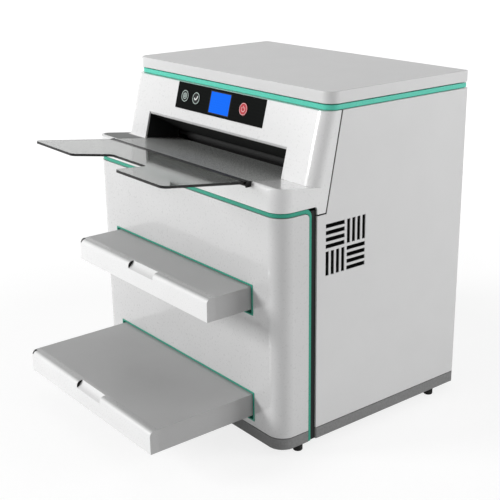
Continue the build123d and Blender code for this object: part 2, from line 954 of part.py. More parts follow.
def drive_motor():
    """Square stepping motor with a round boss in the chassis plate."""
    x = chassis_half_width
    body = Pos(x - motor_length / 2, motor_y, motor_z) * Box(motor_length, motor_size, motor_size)
    body = chamfer(body.edges().filter_by(Axis.X), motor_chamfer)
    body += rod((x, chassis_outer), motor_y, motor_z, motor_boss_radius)
    return body - rod((x - motor_bore_depth, chassis_outer), motor_y, motor_z, motor_bore)


# Rollers

pulley_radius = 12.0
shaft_end = 1.0
bush_end = chassis_outer + bush_reach + shaft_end


def platen_shaft():
    """Steel shaft with the belt pulley at its left end."""
    shaft = rod((-drive_span[1], drive_span[1]), *platen_place, platen_shaft_radius)
    return shaft + rod((-drive_span[1], -drive_span[0]), *platen_place, pulley_radius)


def platen_rubber():
    sleeve = rod((-platen_half, platen_half), *platen_place, platen_radius)
    return sleeve - rod((-platen_half, platen_half), *platen_place, platen_shaft_radius)


def exit_roller():
    """Exit roller with a belt pulley at its left end."""
    roller = rod((-exit_half, exit_half), *exit_place, exit_radius)
    roller += rod((-drive_span[1], bush_end), *exit_place, exit_shaft_radius)
    return roller + rod((-drive_span[1], -drive_span[0]), *exit_place, exit_radius)


def plain_roller(place, radius, shaft_radius, half):
    """Roller with a thinner shaft that ends just outside the bushes."""
    return rod((-half, half), *place, radius) + rod((-bush_end, bush_end), *place, shaft_radius)


def pick_roller(place):
    """Shaft with two tyres that lift one sheet out of the cassette."""
    roller = rod((-bush_end, bush_end), *place, pick_shaft_radius)
    for side in (-1, 1):
        roller += rod(around(side * pick_spread, pick_tyre), *place, pick_radius)
    return roller


belt_thickness = 1.5


def belt_region(grow):
    """Outline round both pulleys, grown outwards, as a solid."""
    x_span = (-drive_span[1], -drive_span[0])
    (y1, z1), (y2, z2) = platen_place, exit_place
    r1, r2 = pulley_radius + grow, exit_radius + grow
    heading = math.atan2(z2 - z1, y2 - y1)
    swing = math.acos((r1 - r2) / math.hypot(y2 - y1, z2 - z1))
    up, down = heading + swing, heading - swing
    outline = [
        (y1 + r1 * math.cos(up), z1 + r1 * math.sin(up)),
        (y2 + r2 * math.cos(up), z2 + r2 * math.sin(up)),
        (y2 + r2 * math.cos(down), z2 + r2 * math.sin(down)),
        (y1 + r1 * math.cos(down), z1 + r1 * math.sin(down)),
    ]
    return side_prism(outline, x_span) + rod(x_span, y1, z1, r1) + rod(x_span, y2, z2, r2)


def drive_belt():
    return belt_region(close_gap + belt_thickness) - belt_region(close_gap)


# Film guides: two sheets with the film between them

guide_window = 1.0
guide_front_gap = 5.0
guide_low = 6.0
entry_drop = 4.0
head_depth = 28.0
head_height = 40.0
head_nose = 6.0
head_nose_rise = 3.0
fin_slots = 4
fin_slot = 2.4
fin_depth = 26.0


def film_guide(offset, low, front):
    """Sheet that follows the film at an offset: upright, round the bend, then forward."""
    near, far = offset, offset + guide_sheet
    tangent_y = bend_y + bend_radius * math.sin(slope)
    reach = 2 * bend_radius
    wedge = [
        (bend_y, bend_z),
        (bend_y + reach, bend_z),
        (bend_y + reach, bend_z + reach),
        (bend_y + reach * math.sin(slope), bend_z + reach * math.cos(slope)),
    ]
    run = [above_film(tangent_y, near), above_film(tangent_y, far), above_film(front, far), above_film(front, near)]
    ring = rod(chassis_span, bend_y, bend_z, bend_radius + far)
    ring -= rod(chassis_span, bend_y, bend_z, bend_radius + near)
    sheet = ring & side_prism(wedge, chassis_span)
    sheet += span_box(chassis_span, (channel_y + near, channel_y + far), (low, bend_z))
    sheet += side_prism(run, chassis_span)
    window_half = feed_half + guide_window
    window_z = around(feed_z, 2 * (feed_radius + guide_window))
    return sheet - span_box((-window_half, window_half), (channel_y - bend_radius, rear_y), window_z)


def guide_outer():
    front = platen_y + head_depth / 2 + guide_front_gap
    return film_guide(film_space, lower_z + guide_low, front)


def guide_inner():
    """Inner sheet, with a wide opening where film comes in from the upper cassette."""
    front = platen_y + platen_radius + guide_front_gap
    sheet = film_guide(-film_space - guide_sheet, lower_z + cassette_height + guide_low, front)
    entry_z = (upper_z - entry_drop, upper_z + cassette_height + guide_low)
    return sheet - span_box((-feed_half, feed_half), (channel_y - bend_radius, rear_y), entry_z)


def print_head():
    """Finned bar across the chassis with a narrow nose just above the platen."""
    rear, front = platen_y + head_depth / 2, platen_y - head_depth / 2
    nose_rear, nose_front = platen_y + head_nose / 2, platen_y - head_nose / 2
    outline = [
        above_film(nose_front, nip_gap),
        above_film(nose_rear, nip_gap),
        above_film(rear, head_nose_rise),
        above_film(rear, head_height),
        above_film(front, head_height),
        above_film(front, head_nose_rise),
    ]
    head = side_prism(outline, chassis_span)
    pitch = head_depth / (fin_slots + 1)
    for index in range(fin_slots):
        low_y, high_y = around(front + pitch * (index + 1), fin_slot)
        low, high = head_height - fin_depth, head_height + overrun
        slot = [above_film(low_y, low), above_film(high_y, low), above_film(high_y, high), above_film(low_y, high)]
        head -= side_prism(slot, chassis_span)
    return head


# Chassis plates

chassis_top_gap = 14.0
chassis_step = 10.0
flange_width = 14.0
chassis_base_z = foot_height + plinth_wall + chassis_sheet
chassis_top_z = side_top_z - chassis_top_gap
screw_radius = 1.7
screw_length = 6.0
screw_head_radius = 3.5
screw_head = 2.2
screw_slot = 1.0
screw_margin = 45.0
screw_rows = 4
screw_x = chassis_outer + flange_width / 2
screw_pitch = (chassis_top_z - chassis_base_z - 2 * screw_margin) / (screw_rows - 1)
screw_heights = [chassis_base_z + screw_margin + index * screw_pitch for index in range(screw_rows)]


def along_y(x, z, y_span, radius):
    """Round bar along Y."""
    low, high = y_span
    return Pos(x, (low + high) / 2, z) * Rot(90, 0, 0) * Cylinder(radius, high - low)


def chassis_plate():
    """Sheet plate with a rear flange folded outwards and a hole for every bush."""
    x_span = (chassis_half_width, chassis_outer)
    front = body_y + plinth_wall + close_gap
    step_z = shelf_z(join_y) - shelf_thickness - chassis_step
    outline = [
        (front, chassis_base_z),
        (front, floor_z),
        (body_y, floor_z),
        (body_y, step_z),
        (join_y + chassis_step, step_z),
        (seam_y(chassis_top_z) + chassis_step, chassis_top_z),
        (rear_inner_y, chassis_top_z),
        (rear_inner_y, chassis_base_z),
    ]
    plate = side_prism(outline, x_span)
    flange_x = (chassis_outer, chassis_outer + flange_width)
    plate += span_box(flange_x, (rear_inner_y - chassis_sheet, rear_inner_y), (chassis_base_z, chassis_top_z))
    for (y, z), radius in shafts:
        plate -= rod(x_span, y, z, radius + bush_wall)
    for z in screw_heights:
        plate -= along_y(screw_x, z, (rear_inner_y - overrun, rear_y), screw_radius)
    return plate


def chassis_plates():
    right = chassis_plate() - rod((chassis_half_width, chassis_outer), motor_y, motor_z, motor_boss_radius)
    return Compound([right, mirrored(chassis_plate())])


# Power supply and control board, on the outside of the left chassis plate

supply_depth = 40.0
supply_gap = 20.25
supply_height = 110.0
supply_wall = 1.5
supply_reach = 89.75
supply_rise = 12.0
supply_slots = 9
supply_slot = 4.0
supply_slot_length = 60.0
board_sheet = 1.6
board_standoff = 8.0
board_post_radius = 3.0
board_margin = 8.0
board_length = 190.0
board_height = 140.0
board_reach = 144.75
board_rise = 142.0
chip_height = 3.0
chip_size = 24.0
coil_height = 14.0
coil_radius = 9.0
plug_length = 40.0
plug_width = 9.0
plug_height = 11.0


board_y = door_y + board_reach
board_low_z = floor_z + board_rise
supply_y = door_y + supply_reach
supply_length = pick_y - supply_gap - supply_y
supply_low_z = floor_z + supply_rise


def power_supply():
    """Vented sheet case."""
    x_span = (chassis_outer, chassis_outer + supply_depth)
    y_span = (supply_y, supply_y + supply_length)
    z_span = (supply_low_z, supply_low_z + supply_height)
    wall = supply_wall
    case = span_box(x_span, y_span, z_span)
    case -= span_box(*[(low + wall, high - wall) for low, high in (x_span, y_span, z_span)])
    pitch = supply_length / (supply_slots + 1)
    slot_z = around(supply_low_z + supply_height / 2, supply_slot_length)
    for index in range(supply_slots):
        slot_y = around(supply_y + pitch * (index + 1), supply_slot)
        case -= span_box((x_span[1] - 2 * wall, x_span[1] + overrun), slot_y, slot_z)
    return mirrored(case)


def control_board():
    """Circuit board on four posts, with a few large components."""
    face = chassis_outer + board_standoff
    top = face + board_sheet
    y_span = (board_y, board_y + board_length)
    z_span = (board_low_z, board_low_z + board_height)
    board = span_box((face, top), y_span, z_span)
    for y in (y_span[0] + board_margin, y_span[1] - board_margin):
        for z in (z_span[0] + board_margin, z_span[1] - board_margin):
            board += rod((chassis_outer, face), y, z, board_post_radius)
    middle_y = board_y + board_length / 2
    middle_z = board_low_z + board_height / 2
    board += span_box((top, top + chip_height), around(middle_y, chip_size), around(middle_z, chip_size))
    coil_y = middle_y + 2 * chip_size
    for z in (middle_z - chip_size, middle_z + chip_size):
        board += rod((top, top + coil_height), coil_y, z, coil_radius)
    plug_y = around(middle_y - 2 * chip_size, plug_length)
    for z in (z_span[0] + 2 * board_margin, z_span[1] - 2 * board_margin):
        board += span_box((top, top + plug_height), plug_y, around(z, plug_width))
    return mirrored(board)


# Cooling fan behind the rear cover

fan_inset = 143.0
fan_drop = 62.0
fan_size = 80.0
fan_depth = 25.0
fan_bore_radius = 37.5
fan_hub_radius = 15.0
fan_web = 3.0
fan_spoke = 5.0
fan_pin_radius = 2.0
fan_gap = 1.0
fan_blades = 7
fan_blade_radius = 35.5
fan_blade_sheet = 1.6
fan_blade_depth = 14.0
fan_blade_pitch = 35.0
fan_x = half_width - fan_inset
fan_z = side_top_z - fan_drop
fan_plane = Plane(origin=(fan_x, rear_inner_y, fan_z), x_dir=(1, 0, 0), z_dir=(0, -1, 0))
rotor_low = fan_web + fan_gap
rotor_high = fan_depth - fan_gap


def fan_housing():
    """Square frame with a round duct, four spokes and a pin for the rotor."""
    frame = slab(fan_size, fan_size, 0, fan_depth) - disc(fan_bore_radius, -overrun, fan_depth + overrun)
    frame += disc(fan_hub_radius, 0, fan_web)
    frame += slab(2 * fan_bore_radius + fan_spoke / 2, fan_spoke, 0, fan_web)
    frame += slab(fan_spoke, 2 * fan_bore_radius + fan_spoke / 2, 0, fan_web)
    return fan_plane * (frame + disc(fan_pin_radius, fan_web, rotor_high))


def fan_rotor():
    """Hub with tilted blades, bored for the pin."""
    rotor = disc(fan_hub_radius, rotor_low, rotor_high)
    middle = (rotor_low + rotor_high) / 2
    length = fan_blade_radius - fan_hub_radius / 2
    blade = Box(length, fan_blade_sheet, fan_blade_depth)
    for index in range(fan_blades):
        turn = Rot(0, 0, 360 * index / fan_blades)
        place = turn * Pos(fan_blade_radius - length / 2, 0, middle)
        rotor += place * Rot(fan_blade_pitch, 0, 0) * blade
    return fan_plane * (rotor - disc(fan_pin_radius + running_gap, rotor_low - overrun, rotor_high + overrun))


# Mains inlet and power switch in the rear cover

socket_inset = 18.0
inlet_rise = 66.0
switch_rise = 122.0
flange_sheet = 2.0
inlet_width = 27.0
inlet_height = 20.0
inlet_depth = 24.0
inlet_flange = 4.0
inlet_cavity_width = 22.0
inlet_cavity_height = 15.0
inlet_cavity_depth = 17.0
inlet_pin = 2.0
inlet_pin_height = 4.0
inlet_pin_length = 14.0
inlet_pin_pitch = 7.0
inlet_pin_rise = 1.5
bezel_width = 24.0
bezel_height = 22.0
bezel_depth = 18.0
bezel_flange = 3.0
bezel_wall = 2.5
rocker_gap = 0.5
rocker_tilt = 8.0
rocker_front = 3.0
rocker_back = 6.0
rocker_dish = 1.2
rocker_pin_radius = 1.5
rocker_pin_length = 1.8
rocker_sink = 3.0
rocker_space = 1.4
socket_x = panel_wall + socket_inset - half_width
inlet_z = floor_z + inlet_rise
switch_z = floor_z + switch_rise
pivot_y = rear_y + flange_sheet - rocker_sink
rocker_half_width = bezel_width / 2 - bezel_wall - rocker_gap
rocker_half_height = bezel_height / 2 - bezel_wall - rocker_space


def panel_body(z, width, height, depth, flange):
    """Fitting for a panel cut-out: a flange outside and a body behind it."""
    body = span_box(around(socket_x, width), (rear_y - depth, rear_y + flange_sheet), around(z, height))
    rim_y = (rear_y, rear_y + flange_sheet)
    return body + span_box(around(socket_x, width + 2 * flange), rim_y, around(z, height + 2 * flange))


def mains_inlet():
    """Three-pin inlet socket."""
    body = panel_body(inlet_z, inlet_width, inlet_height, inlet_depth, inlet_flange)
    front = rear_y + flange_sheet
    cavity_y = (front - inlet_cavity_depth, front + overrun)
    body -= span_box(around(socket_x, inlet_cavity_width), cavity_y, around(inlet_z, inlet_cavity_height))
    pin_y = (front - inlet_cavity_depth, front - inlet_cavity_depth + inlet_pin_length)
    for step, rise in ((-1, -inlet_pin_rise), (0, inlet_pin_rise), (1, -inlet_pin_rise)):
        pin_x = around(socket_x + step * inlet_pin_pitch, inlet_pin)
        body += span_box(pin_x, pin_y, around(inlet_z + rise, inlet_pin_height))
    return body


def switch_bezel():
    """Open box with two bores for the rocker pins."""
    body = panel_body(switch_z, bezel_width, bezel_height, bezel_depth, bezel_flange)
    y_span = (rear_y - bezel_depth + bezel_wall, back_y + overrun)
    width = bezel_width - 2 * bezel_wall
    height = bezel_height - 2 * bezel_wall
    body -= span_box(around(socket_x, width), y_span, around(switch_z, height))
    bore_half = rocker_half_width + rocker_pin_length + running_gap
    bore = rod((socket_x - bore_half, socket_x + bore_half), pivot_y, switch_z, rocker_pin_radius + running_gap)
    return body - bore


def power_switch():
    """Rocker with a shallow V in front, tilted to one side."""
    outline = [
        (-rocker_back, -rocker_half_height / 2),
        (rocker_front, -rocker_half_height),
        (rocker_front - rocker_dish, 0),
        (rocker_front, rocker_half_height),
        (-rocker_back, rocker_half_height / 2),
    ]
    rocker = side_prism(outline, (-rocker_half_width, rocker_half_width))
    pin_half = rocker_half_width + rocker_pin_length
    rocker += rod((-pin_half, pin_half), 0, 0, rocker_pin_radius)
    return Pos(socket_x, pivot_y, switch_z) * Rot(rocker_tilt, 0, 0) * rocker


# Rear cover and its screws

grille_slot = 4.0
grille_rows = 4
grille_margin = 5.5
grille_pitch = (fan_bore_radius - grille_margin) / grille_rows
louvre_rows = 8
louvre_pitch = 9.0
louvre_slot = 3.0
louvre_length = 200.0
louvre_drop = 212.0
louvre_low_z = side_top_z - louvre_drop
screw_hole_radius = screw_radius + close_gap


def rear_cover():
    """Flat sheet between the side panels, with a fan grille, slots and cut-outs."""
    x = half_width - panel_wall
    y_span = (rear_inner_y, rear_y)
    cut_y = (rear_inner_y - overrun, rear_y + overrun)
    cover = span_box((-x, x), y_span, (foot_height + plinth_wall, side_top_z))
    for row in range(-grille_rows, grille_rows + 1):
        rise = row * grille_pitch
        chord = 2 * math.sqrt(fan_bore_radius**2 - rise**2)
        cover -= span_box(around(fan_x, chord), cut_y, around(fan_z + rise, grille_slot))
    for row in range(louvre_rows):
        z = louvre_low_z + row * louvre_pitch
        cover -= span_box(around(0, louvre_length), cut_y, around(z, louvre_slot))
    inlet_span = around(socket_x, inlet_width + 2 * close_gap)
    cover -= span_box(inlet_span, cut_y, around(inlet_z, inlet_height + 2 * close_gap))
    bezel_span = around(socket_x, bezel_width + 2 * close_gap)
    cover -= span_box(bezel_span, cut_y, around(switch_z, bezel_height + 2 * close_gap))
    for z in screw_heights:
        for side in (-1, 1):
            cover -= along_y(side * screw_x, z, cut_y, screw_hole_radius)
    return cover


def rear_screws():
    """Eight slotted screws through the rear cover into the chassis flanges."""
    screws = []
    for z in screw_heights:
        for side in (-1, 1):
            x = side * screw_x
            screw = along_y(x, z, (rear_y - screw_length, rear_y), screw_radius)
            screw += along_y(x, z, (rear_y, rear_y + screw_head), screw_head_radius)
            slot_y = (rear_y + screw_head / 2, rear_y + screw_head)
            screw -= span_box(around(x, 2 * screw_head_radius), slot_y, around(z, screw_slot))
            screws.append(screw)
    return Compound(screws)


# Every piece under its own name

save("front_plinth", front_plinth())
save("body_plinth", body_plinth())
save("rubber_feet", rubber_feet())
save("base_plate", base_plate())
save("front_door", front_door())
save("door_trim", door_trim())
save("bay_frames", bay_frames())
save("front_frame", front_frame())
save("right_side_panel", side_panel())
save("left_side_panel", mirrored(side_panel()))
save("vent_filters", both_sides(filter_space(0)))
save("top_trim", top_trim())
save("top_cover", top_cover())
save("upper_fascia", upper_fascia())
save("control_panel", control_panel())
save("display_screen", display_screen())
save("power_button", push_button(power_x))
save("menu_button", push_button(menu_x))
save("select_button", push_button(select_x))
save("key_board", key_board())
save("slot_liner", slot_liner())
save("film_guide_plate", film_guide_plate())
save("output_tray", output_tray())
save("tray_hinge_bar", tray_hinge_bar())
save("tray_ears", tray_ears())
for level, level_z, pull in (("upper", upper_z, 0), ("lower", lower_z, lower_pull)):
    save(f"{level}_tub", cassette_tub(level_z, pull))
    save(f"{level}_lid", cassette_lid(level_z, pull))
    save(f"{level}_front", cassette_front(level_z, pull))
    save(f"{level}_film", cassette_film(level_z, pull))
save("cassette_rails", cassette_rails())
save("chassis_plates", chassis_plates())
save("roller_bushes", roller_bushes())
save("guide_outer", guide_outer())
save("guide_inner", guide_inner())
save("platen_shaft", platen_shaft())
save("platen_rubber", platen_rubber())
save("platen_gear", platen_gear())
save("drive_motor", drive_motor())
save("motor_pinion", motor_pinion())
save("drive_belt", drive_belt())
save("exit_roller", exit_roller())
save("exit_idler", plain_roller(exit_idler_place, exit_radius, exit_shaft_radius, exit_half))
save("feed_roller", plain_roller(feed_place, feed_radius, feed_shaft_radius, feed_half))
save("feed_idler", plain_roller(feed_idler_place, feed_radius, feed_shaft_radius, feed_half))
save("upper_pick_roller", pick_roller(upper_pick_place))
save("lower_pick_roller", pick_roller(lower_pick_place))
save("print_head", print_head())
save("power_supply", power_supply())
save("control_board", control_board())
save("fan_housing", fan_housing())
save("fan_rotor", fan_rotor())
save("mains_inlet", mains_inlet())
save("switch_bezel", switch_bezel())
save("power_switch", power_switch())
save("rear_cover", rear_cover())
save("rear_screws", rear_screws())
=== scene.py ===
import json
import math

import bpy
from mathutils import Matrix, Vector


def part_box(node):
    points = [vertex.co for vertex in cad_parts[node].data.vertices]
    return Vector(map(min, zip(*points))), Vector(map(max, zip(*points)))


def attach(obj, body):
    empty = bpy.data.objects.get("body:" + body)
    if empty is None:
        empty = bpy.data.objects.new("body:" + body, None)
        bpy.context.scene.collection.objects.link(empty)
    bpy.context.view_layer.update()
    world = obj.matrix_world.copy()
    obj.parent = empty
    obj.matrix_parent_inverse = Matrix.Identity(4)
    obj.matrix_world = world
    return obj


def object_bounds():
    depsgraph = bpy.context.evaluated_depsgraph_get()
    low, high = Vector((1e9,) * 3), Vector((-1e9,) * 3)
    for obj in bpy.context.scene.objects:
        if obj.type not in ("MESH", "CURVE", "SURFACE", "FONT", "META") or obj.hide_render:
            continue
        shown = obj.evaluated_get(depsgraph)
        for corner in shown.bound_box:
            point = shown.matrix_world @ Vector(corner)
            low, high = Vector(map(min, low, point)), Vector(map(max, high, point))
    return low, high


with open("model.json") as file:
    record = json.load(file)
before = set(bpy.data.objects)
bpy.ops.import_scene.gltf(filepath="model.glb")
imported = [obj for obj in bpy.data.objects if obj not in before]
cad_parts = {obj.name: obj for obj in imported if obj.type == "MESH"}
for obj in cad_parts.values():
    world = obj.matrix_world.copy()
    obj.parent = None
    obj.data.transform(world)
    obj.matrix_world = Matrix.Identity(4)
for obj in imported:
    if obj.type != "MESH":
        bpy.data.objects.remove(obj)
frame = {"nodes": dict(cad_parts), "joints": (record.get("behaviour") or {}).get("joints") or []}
solid_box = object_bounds()


# White front: the door and the upper fascia with its shelf.
# Injection-moulded ABS from polished moulds, sprayed with a high-gloss white lacquer.
# Both shells clip onto the black frame and the chassis behind them.

def linear(hex_colour):
    """Linear RGBA of an sRGB hex colour."""
    channels = [int(hex_colour[index:index + 2], 16) / 255 for index in (1, 3, 5)]
    return [c / 12.92 if c <= 0.04045 else ((c + 0.055) / 1.055) ** 2.4 for c in channels] + [1.0]


def add_node(tree, kind, inputs=None, **settings):
    """Add a node, set it up, and link or set its inputs."""
    node = tree.nodes.new(kind)
    for name, value in settings.items():
        setattr(node, name, value)
    for name, value in (inputs or {}).items():
        if isinstance(value, bpy.types.NodeSocket):
            tree.links.new(value, node.inputs[name])
        else:
            node.inputs[name].default_value = value
    return node


def new_material(name):
    """Empty node material with its output."""
    material = bpy.data.materials.new(name)
    material.use_nodes = True
    material.node_tree.nodes.clear()
    return material, material.node_tree, add_node(material.node_tree, "ShaderNodeOutputMaterial")


def moulded(name, colour, worn_colour, roughness, grain_mm, grain_height_mm, edge_mm, coat=0.0, cloud_mm=90.0,
            specular=0.5):
    """Moulded plastic: fine mould grain, faint clouding, softened edges and slight wear along them."""
    material, tree, output = new_material(name)
    place = add_node(tree, "ShaderNodeTexCoord").outputs["Object"]
    clouds = add_node(tree, "ShaderNodeTexNoise", {"Vector": place, "Scale": 1000 / cloud_mm, "Detail": 3.0})
    grain = add_node(tree, "ShaderNodeTexNoise", {"Vector": place, "Scale": 1000 / grain_mm, "Detail": 2.0})
    soft_edge = add_node(tree, "ShaderNodeBevel", {"Radius": edge_mm / 1000}, samples=4)
    surface = add_node(tree, "ShaderNodeNewGeometry")
    facing = add_node(tree, "ShaderNodeVectorMath", {0: soft_edge.outputs[0], 1: surface.outputs["Normal"]},
                      operation="DOT_PRODUCT")
    edge = add_node(tree, "ShaderNodeMapRange", {"Value": facing.outputs["Value"], "From Min": 0.98, "From Max": 0.75,
                                                 "To Max": 0.5})
    cloud_share = add_node(tree, "ShaderNodeMapRange", {"Value": clouds.outputs["Fac"], "From Min": 0.35,
                                                        "From Max": 0.75, "To Max": 0.35})
    share = add_node(tree, "ShaderNodeMath", {0: edge.outputs[0], 1: cloud_share.outputs[0]}, operation="MAXIMUM")
    tint = add_node(tree, "ShaderNodeMix", {"Factor": share.outputs[0], "A": linear(colour), "B": linear(worn_colour)},
                    data_type="RGBA")
    dull = add_node(tree, "ShaderNodeMapRange", {"Value": grain.outputs["Fac"], "From Min": 0.3, "From Max": 0.7,
                                                 "To Min": roughness * 0.85, "To Max": roughness * 1.2})
    relief = add_node(tree, "ShaderNodeBump", {"Height": grain.outputs["Fac"], "Distance": grain_height_mm / 1000,
                                               "Strength": 0.6, "Normal": soft_edge.outputs[0]})
    shader = add_node(tree, "ShaderNodeBsdfPrincipled", {
        "Base Color": tint.outputs["Result"], "Roughness": dull.outputs[0], "IOR": 1.5, "Coat Weight": coat,
        "Coat Roughness": 0.06, "Specular IOR Level": specular, "Normal": relief.outputs[0]})
    tree.links.new(shader.outputs[0], output.inputs["Surface"])
    return material


def finish_node(material, *nodes):
    """Give a material to CAD nodes."""
    for node in nodes:
        for slot in frame["nodes"][node].material_slots:
            slot.material = material


# Gloss lacquer: clear reflections, a faint ripple about 4 mm wide, edges softened by 1 mm.
white_lacquer = moulded("White_lacquered_ABS", "#EDEDED", "#E4E4E4", 0.3, 4.0, 0.01, 1.2, coat=1.0)
finish_node(white_lacquer, "upper_fascia")
# The door is the fascia's white lacquer, drawn a shade greyer as painted shade.
door_lacquer_painted_shade = moulded("Door_lacquer_painted_shade", "#D9D9D9", "#D0D0D0", 0.3, 4.0, 0.01, 1.2, coat=1.0)
finish_node(door_lacquer_painted_shade, "front_door")


# Side panels and top cover.
# Moulded ABS with a fine satin grain, in the front's white drawn a shade darker, as painted shade on the top and
# sides.
# The side panels hook into the plinth and the cover lifts off.

satin_white_painted_shade = moulded("Satin_white_painted_shade_ABS", "#E4E4E4", "#DCDCDC", 0.42, 1.2, 0.02, 1.5)
finish_node(satin_white_painted_shade, "left_side_panel", "right_side_panel", "top_cover")


# Teal trims: the line round the door, the frames of the two cassette bays and the reveal under the cover.
# ABS coloured through, from a polished mould, in one teal, drawn darker on the door line and bay frames as painted
# shade and paler on the reveal as painted light.
# They are pressed between the white shells and stand just proud of the door.

# The door line and bay frames take the teal drawn darker: painted shade.
teal_painted_shade = moulded("Teal_gloss_painted_shade", "#27A388", "#20967C", 0.3, 2.5, 0.015, 0.3, specular=0.4)
finish_node(teal_painted_shade, "door_trim", "bay_frames")
# The reveal takes the teal drawn paler: painted light.
teal_painted_light = moulded("Teal_gloss_painted_light", "#5BD8BF", "#50CBB2", 0.3, 2.5, 0.015, 0.6, specular=0.4)
finish_node(teal_painted_light, "top_trim")


# Plinths: two shallow trays under the housing.
# Grey ABS with a coarse spark-eroded texture, about 1 mm from pit to pit.
# They are screwed to the base plate from below.

plinth_abs = moulded("Grey_textured_ABS", "#8C8C8C", "#636464", 0.62, 1.0, 0.1, 0.8, cloud_mm=3.0, specular=0.35)
finish_node(plinth_abs, "front_plinth", "body_plinth")


# Feet: four turned pads of black rubber, screwed to the plinths.
# The rubber is matt, with fine dust on it.
# Its grain shows as soft specks 0.8 mm wide.

foot_rubber = moulded("Black_foot_rubber", "#141414", "#242322", 0.8, 0.8, 0.05, 0.6, specular=0.3)
finish_node(foot_rubber, "rubber_feet")


# Frame behind the door and hood of the film slot.
# Glass-filled black ABS with the dull face of an unpolished mould.
# The frame is screwed to the chassis and the hood clips into the fascia.

black_abs = moulded("Black_matt_ABS", "#101111", "#191A1A", 0.6, 1.0, 0.05, 0.5, specular=0.25)
finish_node(black_abs, "front_frame", "slot_liner")


# Vent filters behind the slotted corners of the side panels.
# Black open-cell polyether foam, cut from sheet and glued on.
# Real cells are 0.8 mm wide; they are drawn 2 mm wide so that they show.

filter_foam, tree, output = new_material("Black_open_cell_foam")
place = add_node(tree, "ShaderNodeTexCoord").outputs["Object"]
cells = add_node(tree, "ShaderNodeTexVoronoi", {"Vector": place, "Scale": 1000 / 2.0, "Randomness": 0.9},
                 feature="DISTANCE_TO_EDGE")
walls = add_node(tree, "ShaderNodeMapRange", {"Value": cells.outputs["Distance"], "From Max": 0.25, "To Min": 1.0,
                                              "To Max": 0.0})
# The cells are drawn darker than their walls: painted shade in the pores.
tint = add_node(tree, "ShaderNodeMix", {"Factor": walls.outputs[0], "A": linear("#020202"), "B": linear("#0B0B0B")},
                data_type="RGBA")
relief = add_node(tree, "ShaderNodeBump", {"Height": walls.outputs[0], "Distance": 0.0008, "Strength": 1.0})
shader = add_node(tree, "ShaderNodeBsdfPrincipled", {
    "Base Color": tint.outputs["Result"], "Roughness": 0.95, "Specular IOR Level": 0.03,
    "Normal": relief.outputs[0]})
tree.links.new(shader.outputs[0], output.inputs["Surface"])
finish_node(filter_foam, "vent_filters")


# Control panel: a screen-printed black polyester film on a 1.5 mm plate, let into the fascia.
# The film has a fine dot texture, about 0.7 mm from dot to dot, drawn 1.4 mm so that it shows.
# The plate is held by its adhesive.

panel_film, tree, output = new_material("Black_printed_polyester")
place = add_node(tree, "ShaderNodeTexCoord").outputs["Object"]
dots = add_node(tree, "ShaderNodeTexVoronoi", {"Vector": place, "Scale": 1000 / 1.4, "Randomness": 0.1})
raised = add_node(tree, "ShaderNodeMapRange", {"Value": dots.outputs["Distance"], "From Min": 0.15, "From Max": 0.45,
                                               "To Min": 1.0, "To Max": 0.0})
tint = add_node(tree, "ShaderNodeMix", {"Factor": raised.outputs[0], "A": linear("#050706"), "B": linear("#101312")},
                data_type="RGBA")
relief = add_node(tree, "ShaderNodeBump", {"Height": raised.outputs[0], "Distance": 0.00003, "Strength": 0.5})
shader = add_node(tree, "ShaderNodeBsdfPrincipled", {
    "Base Color": tint.outputs["Result"], "Roughness": 0.42, "IOR": 1.5, "Specular IOR Level": 0.02,
    "Normal": relief.outputs[0]})
tree.links.new(shader.outputs[0], output.inputs["Surface"])
finish_node(panel_film, "control_panel")


# Display: a blue lit liquid-crystal module behind a clear window, with a black printed border.
# Its cells are 0.3 mm wide and are drawn 1 mm wide so that they show.
# The border is ink on the window.

border_outer = (0.058, 0.0384)
border_inner = (0.054, 0.0350)
ink_height = 0.00012
ink_sink = 0.00005
level_tolerance = 0.0001
facing_share = 0.999

display_glass, tree, output = new_material("Blue_lit_display")
place = add_node(tree, "ShaderNodeTexCoord").outputs["Object"]
cells = add_node(tree, "ShaderNodeTexVoronoi", {"Vector": place, "Scale": 1000 / 1.0, "Randomness": 0.0},
                 feature="F1", distance="CHEBYCHEV")
gaps = add_node(tree, "ShaderNodeMapRange", {"Value": cells.outputs["Distance"], "From Min": 0.4, "From Max": 0.5,
                                             "To Max": 0.5})
glow = add_node(tree, "ShaderNodeMix", {"Factor": gaps.outputs[0], "A": linear("#006FFF"), "B": linear("#005FE6")},
                data_type="RGBA")
shader = add_node(tree, "ShaderNodeBsdfPrincipled", {
    "Base Color": linear("#010204"), "Roughness": 0.2, "IOR": 1.5, "Specular IOR Level": 0.05,
    "Emission Color": glow.outputs["Result"], "Emission Strength": 1.0})
tree.links.new(shader.outputs[0], output.inputs["Surface"])
finish_node(display_glass, "display_screen")


def face_place(node, outward):
    """Frame on a flat face of a CAD node: X right, Z outwards, origin in the middle of the face."""
    outward = Vector(outward).normalized()
    faces = [face for face in frame["nodes"][node].data.polygons if face.normal.dot(outward) > facing_share]
    level = max(face.center.dot(outward) for face in faces)
    faces = [face for face in faces if face.center.dot(outward) > level - level_tolerance]
    area = sum(face.area for face in faces)
    middle = sum((face.center * face.area for face in faces), Vector()) / area
    across = Vector((1, 0, 0))
    rise = outward.cross(across)
    turn = Matrix((across, rise, outward)).transposed().to_4x4()
    return Matrix.Translation(middle) @ turn


def new_piece(name, vertices, faces, material, body, slot):
    """Mesh piece with its material, on a body; the slot argument is not used."""
    mesh = bpy.data.meshes.new(name)
    mesh.from_pydata(vertices, [], faces)
    mesh.validate()
    mesh.materials.append(material)
    piece = bpy.data.objects.new(name, mesh)
    bpy.context.scene.collection.objects.link(piece)
    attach(piece, body)
    return piece


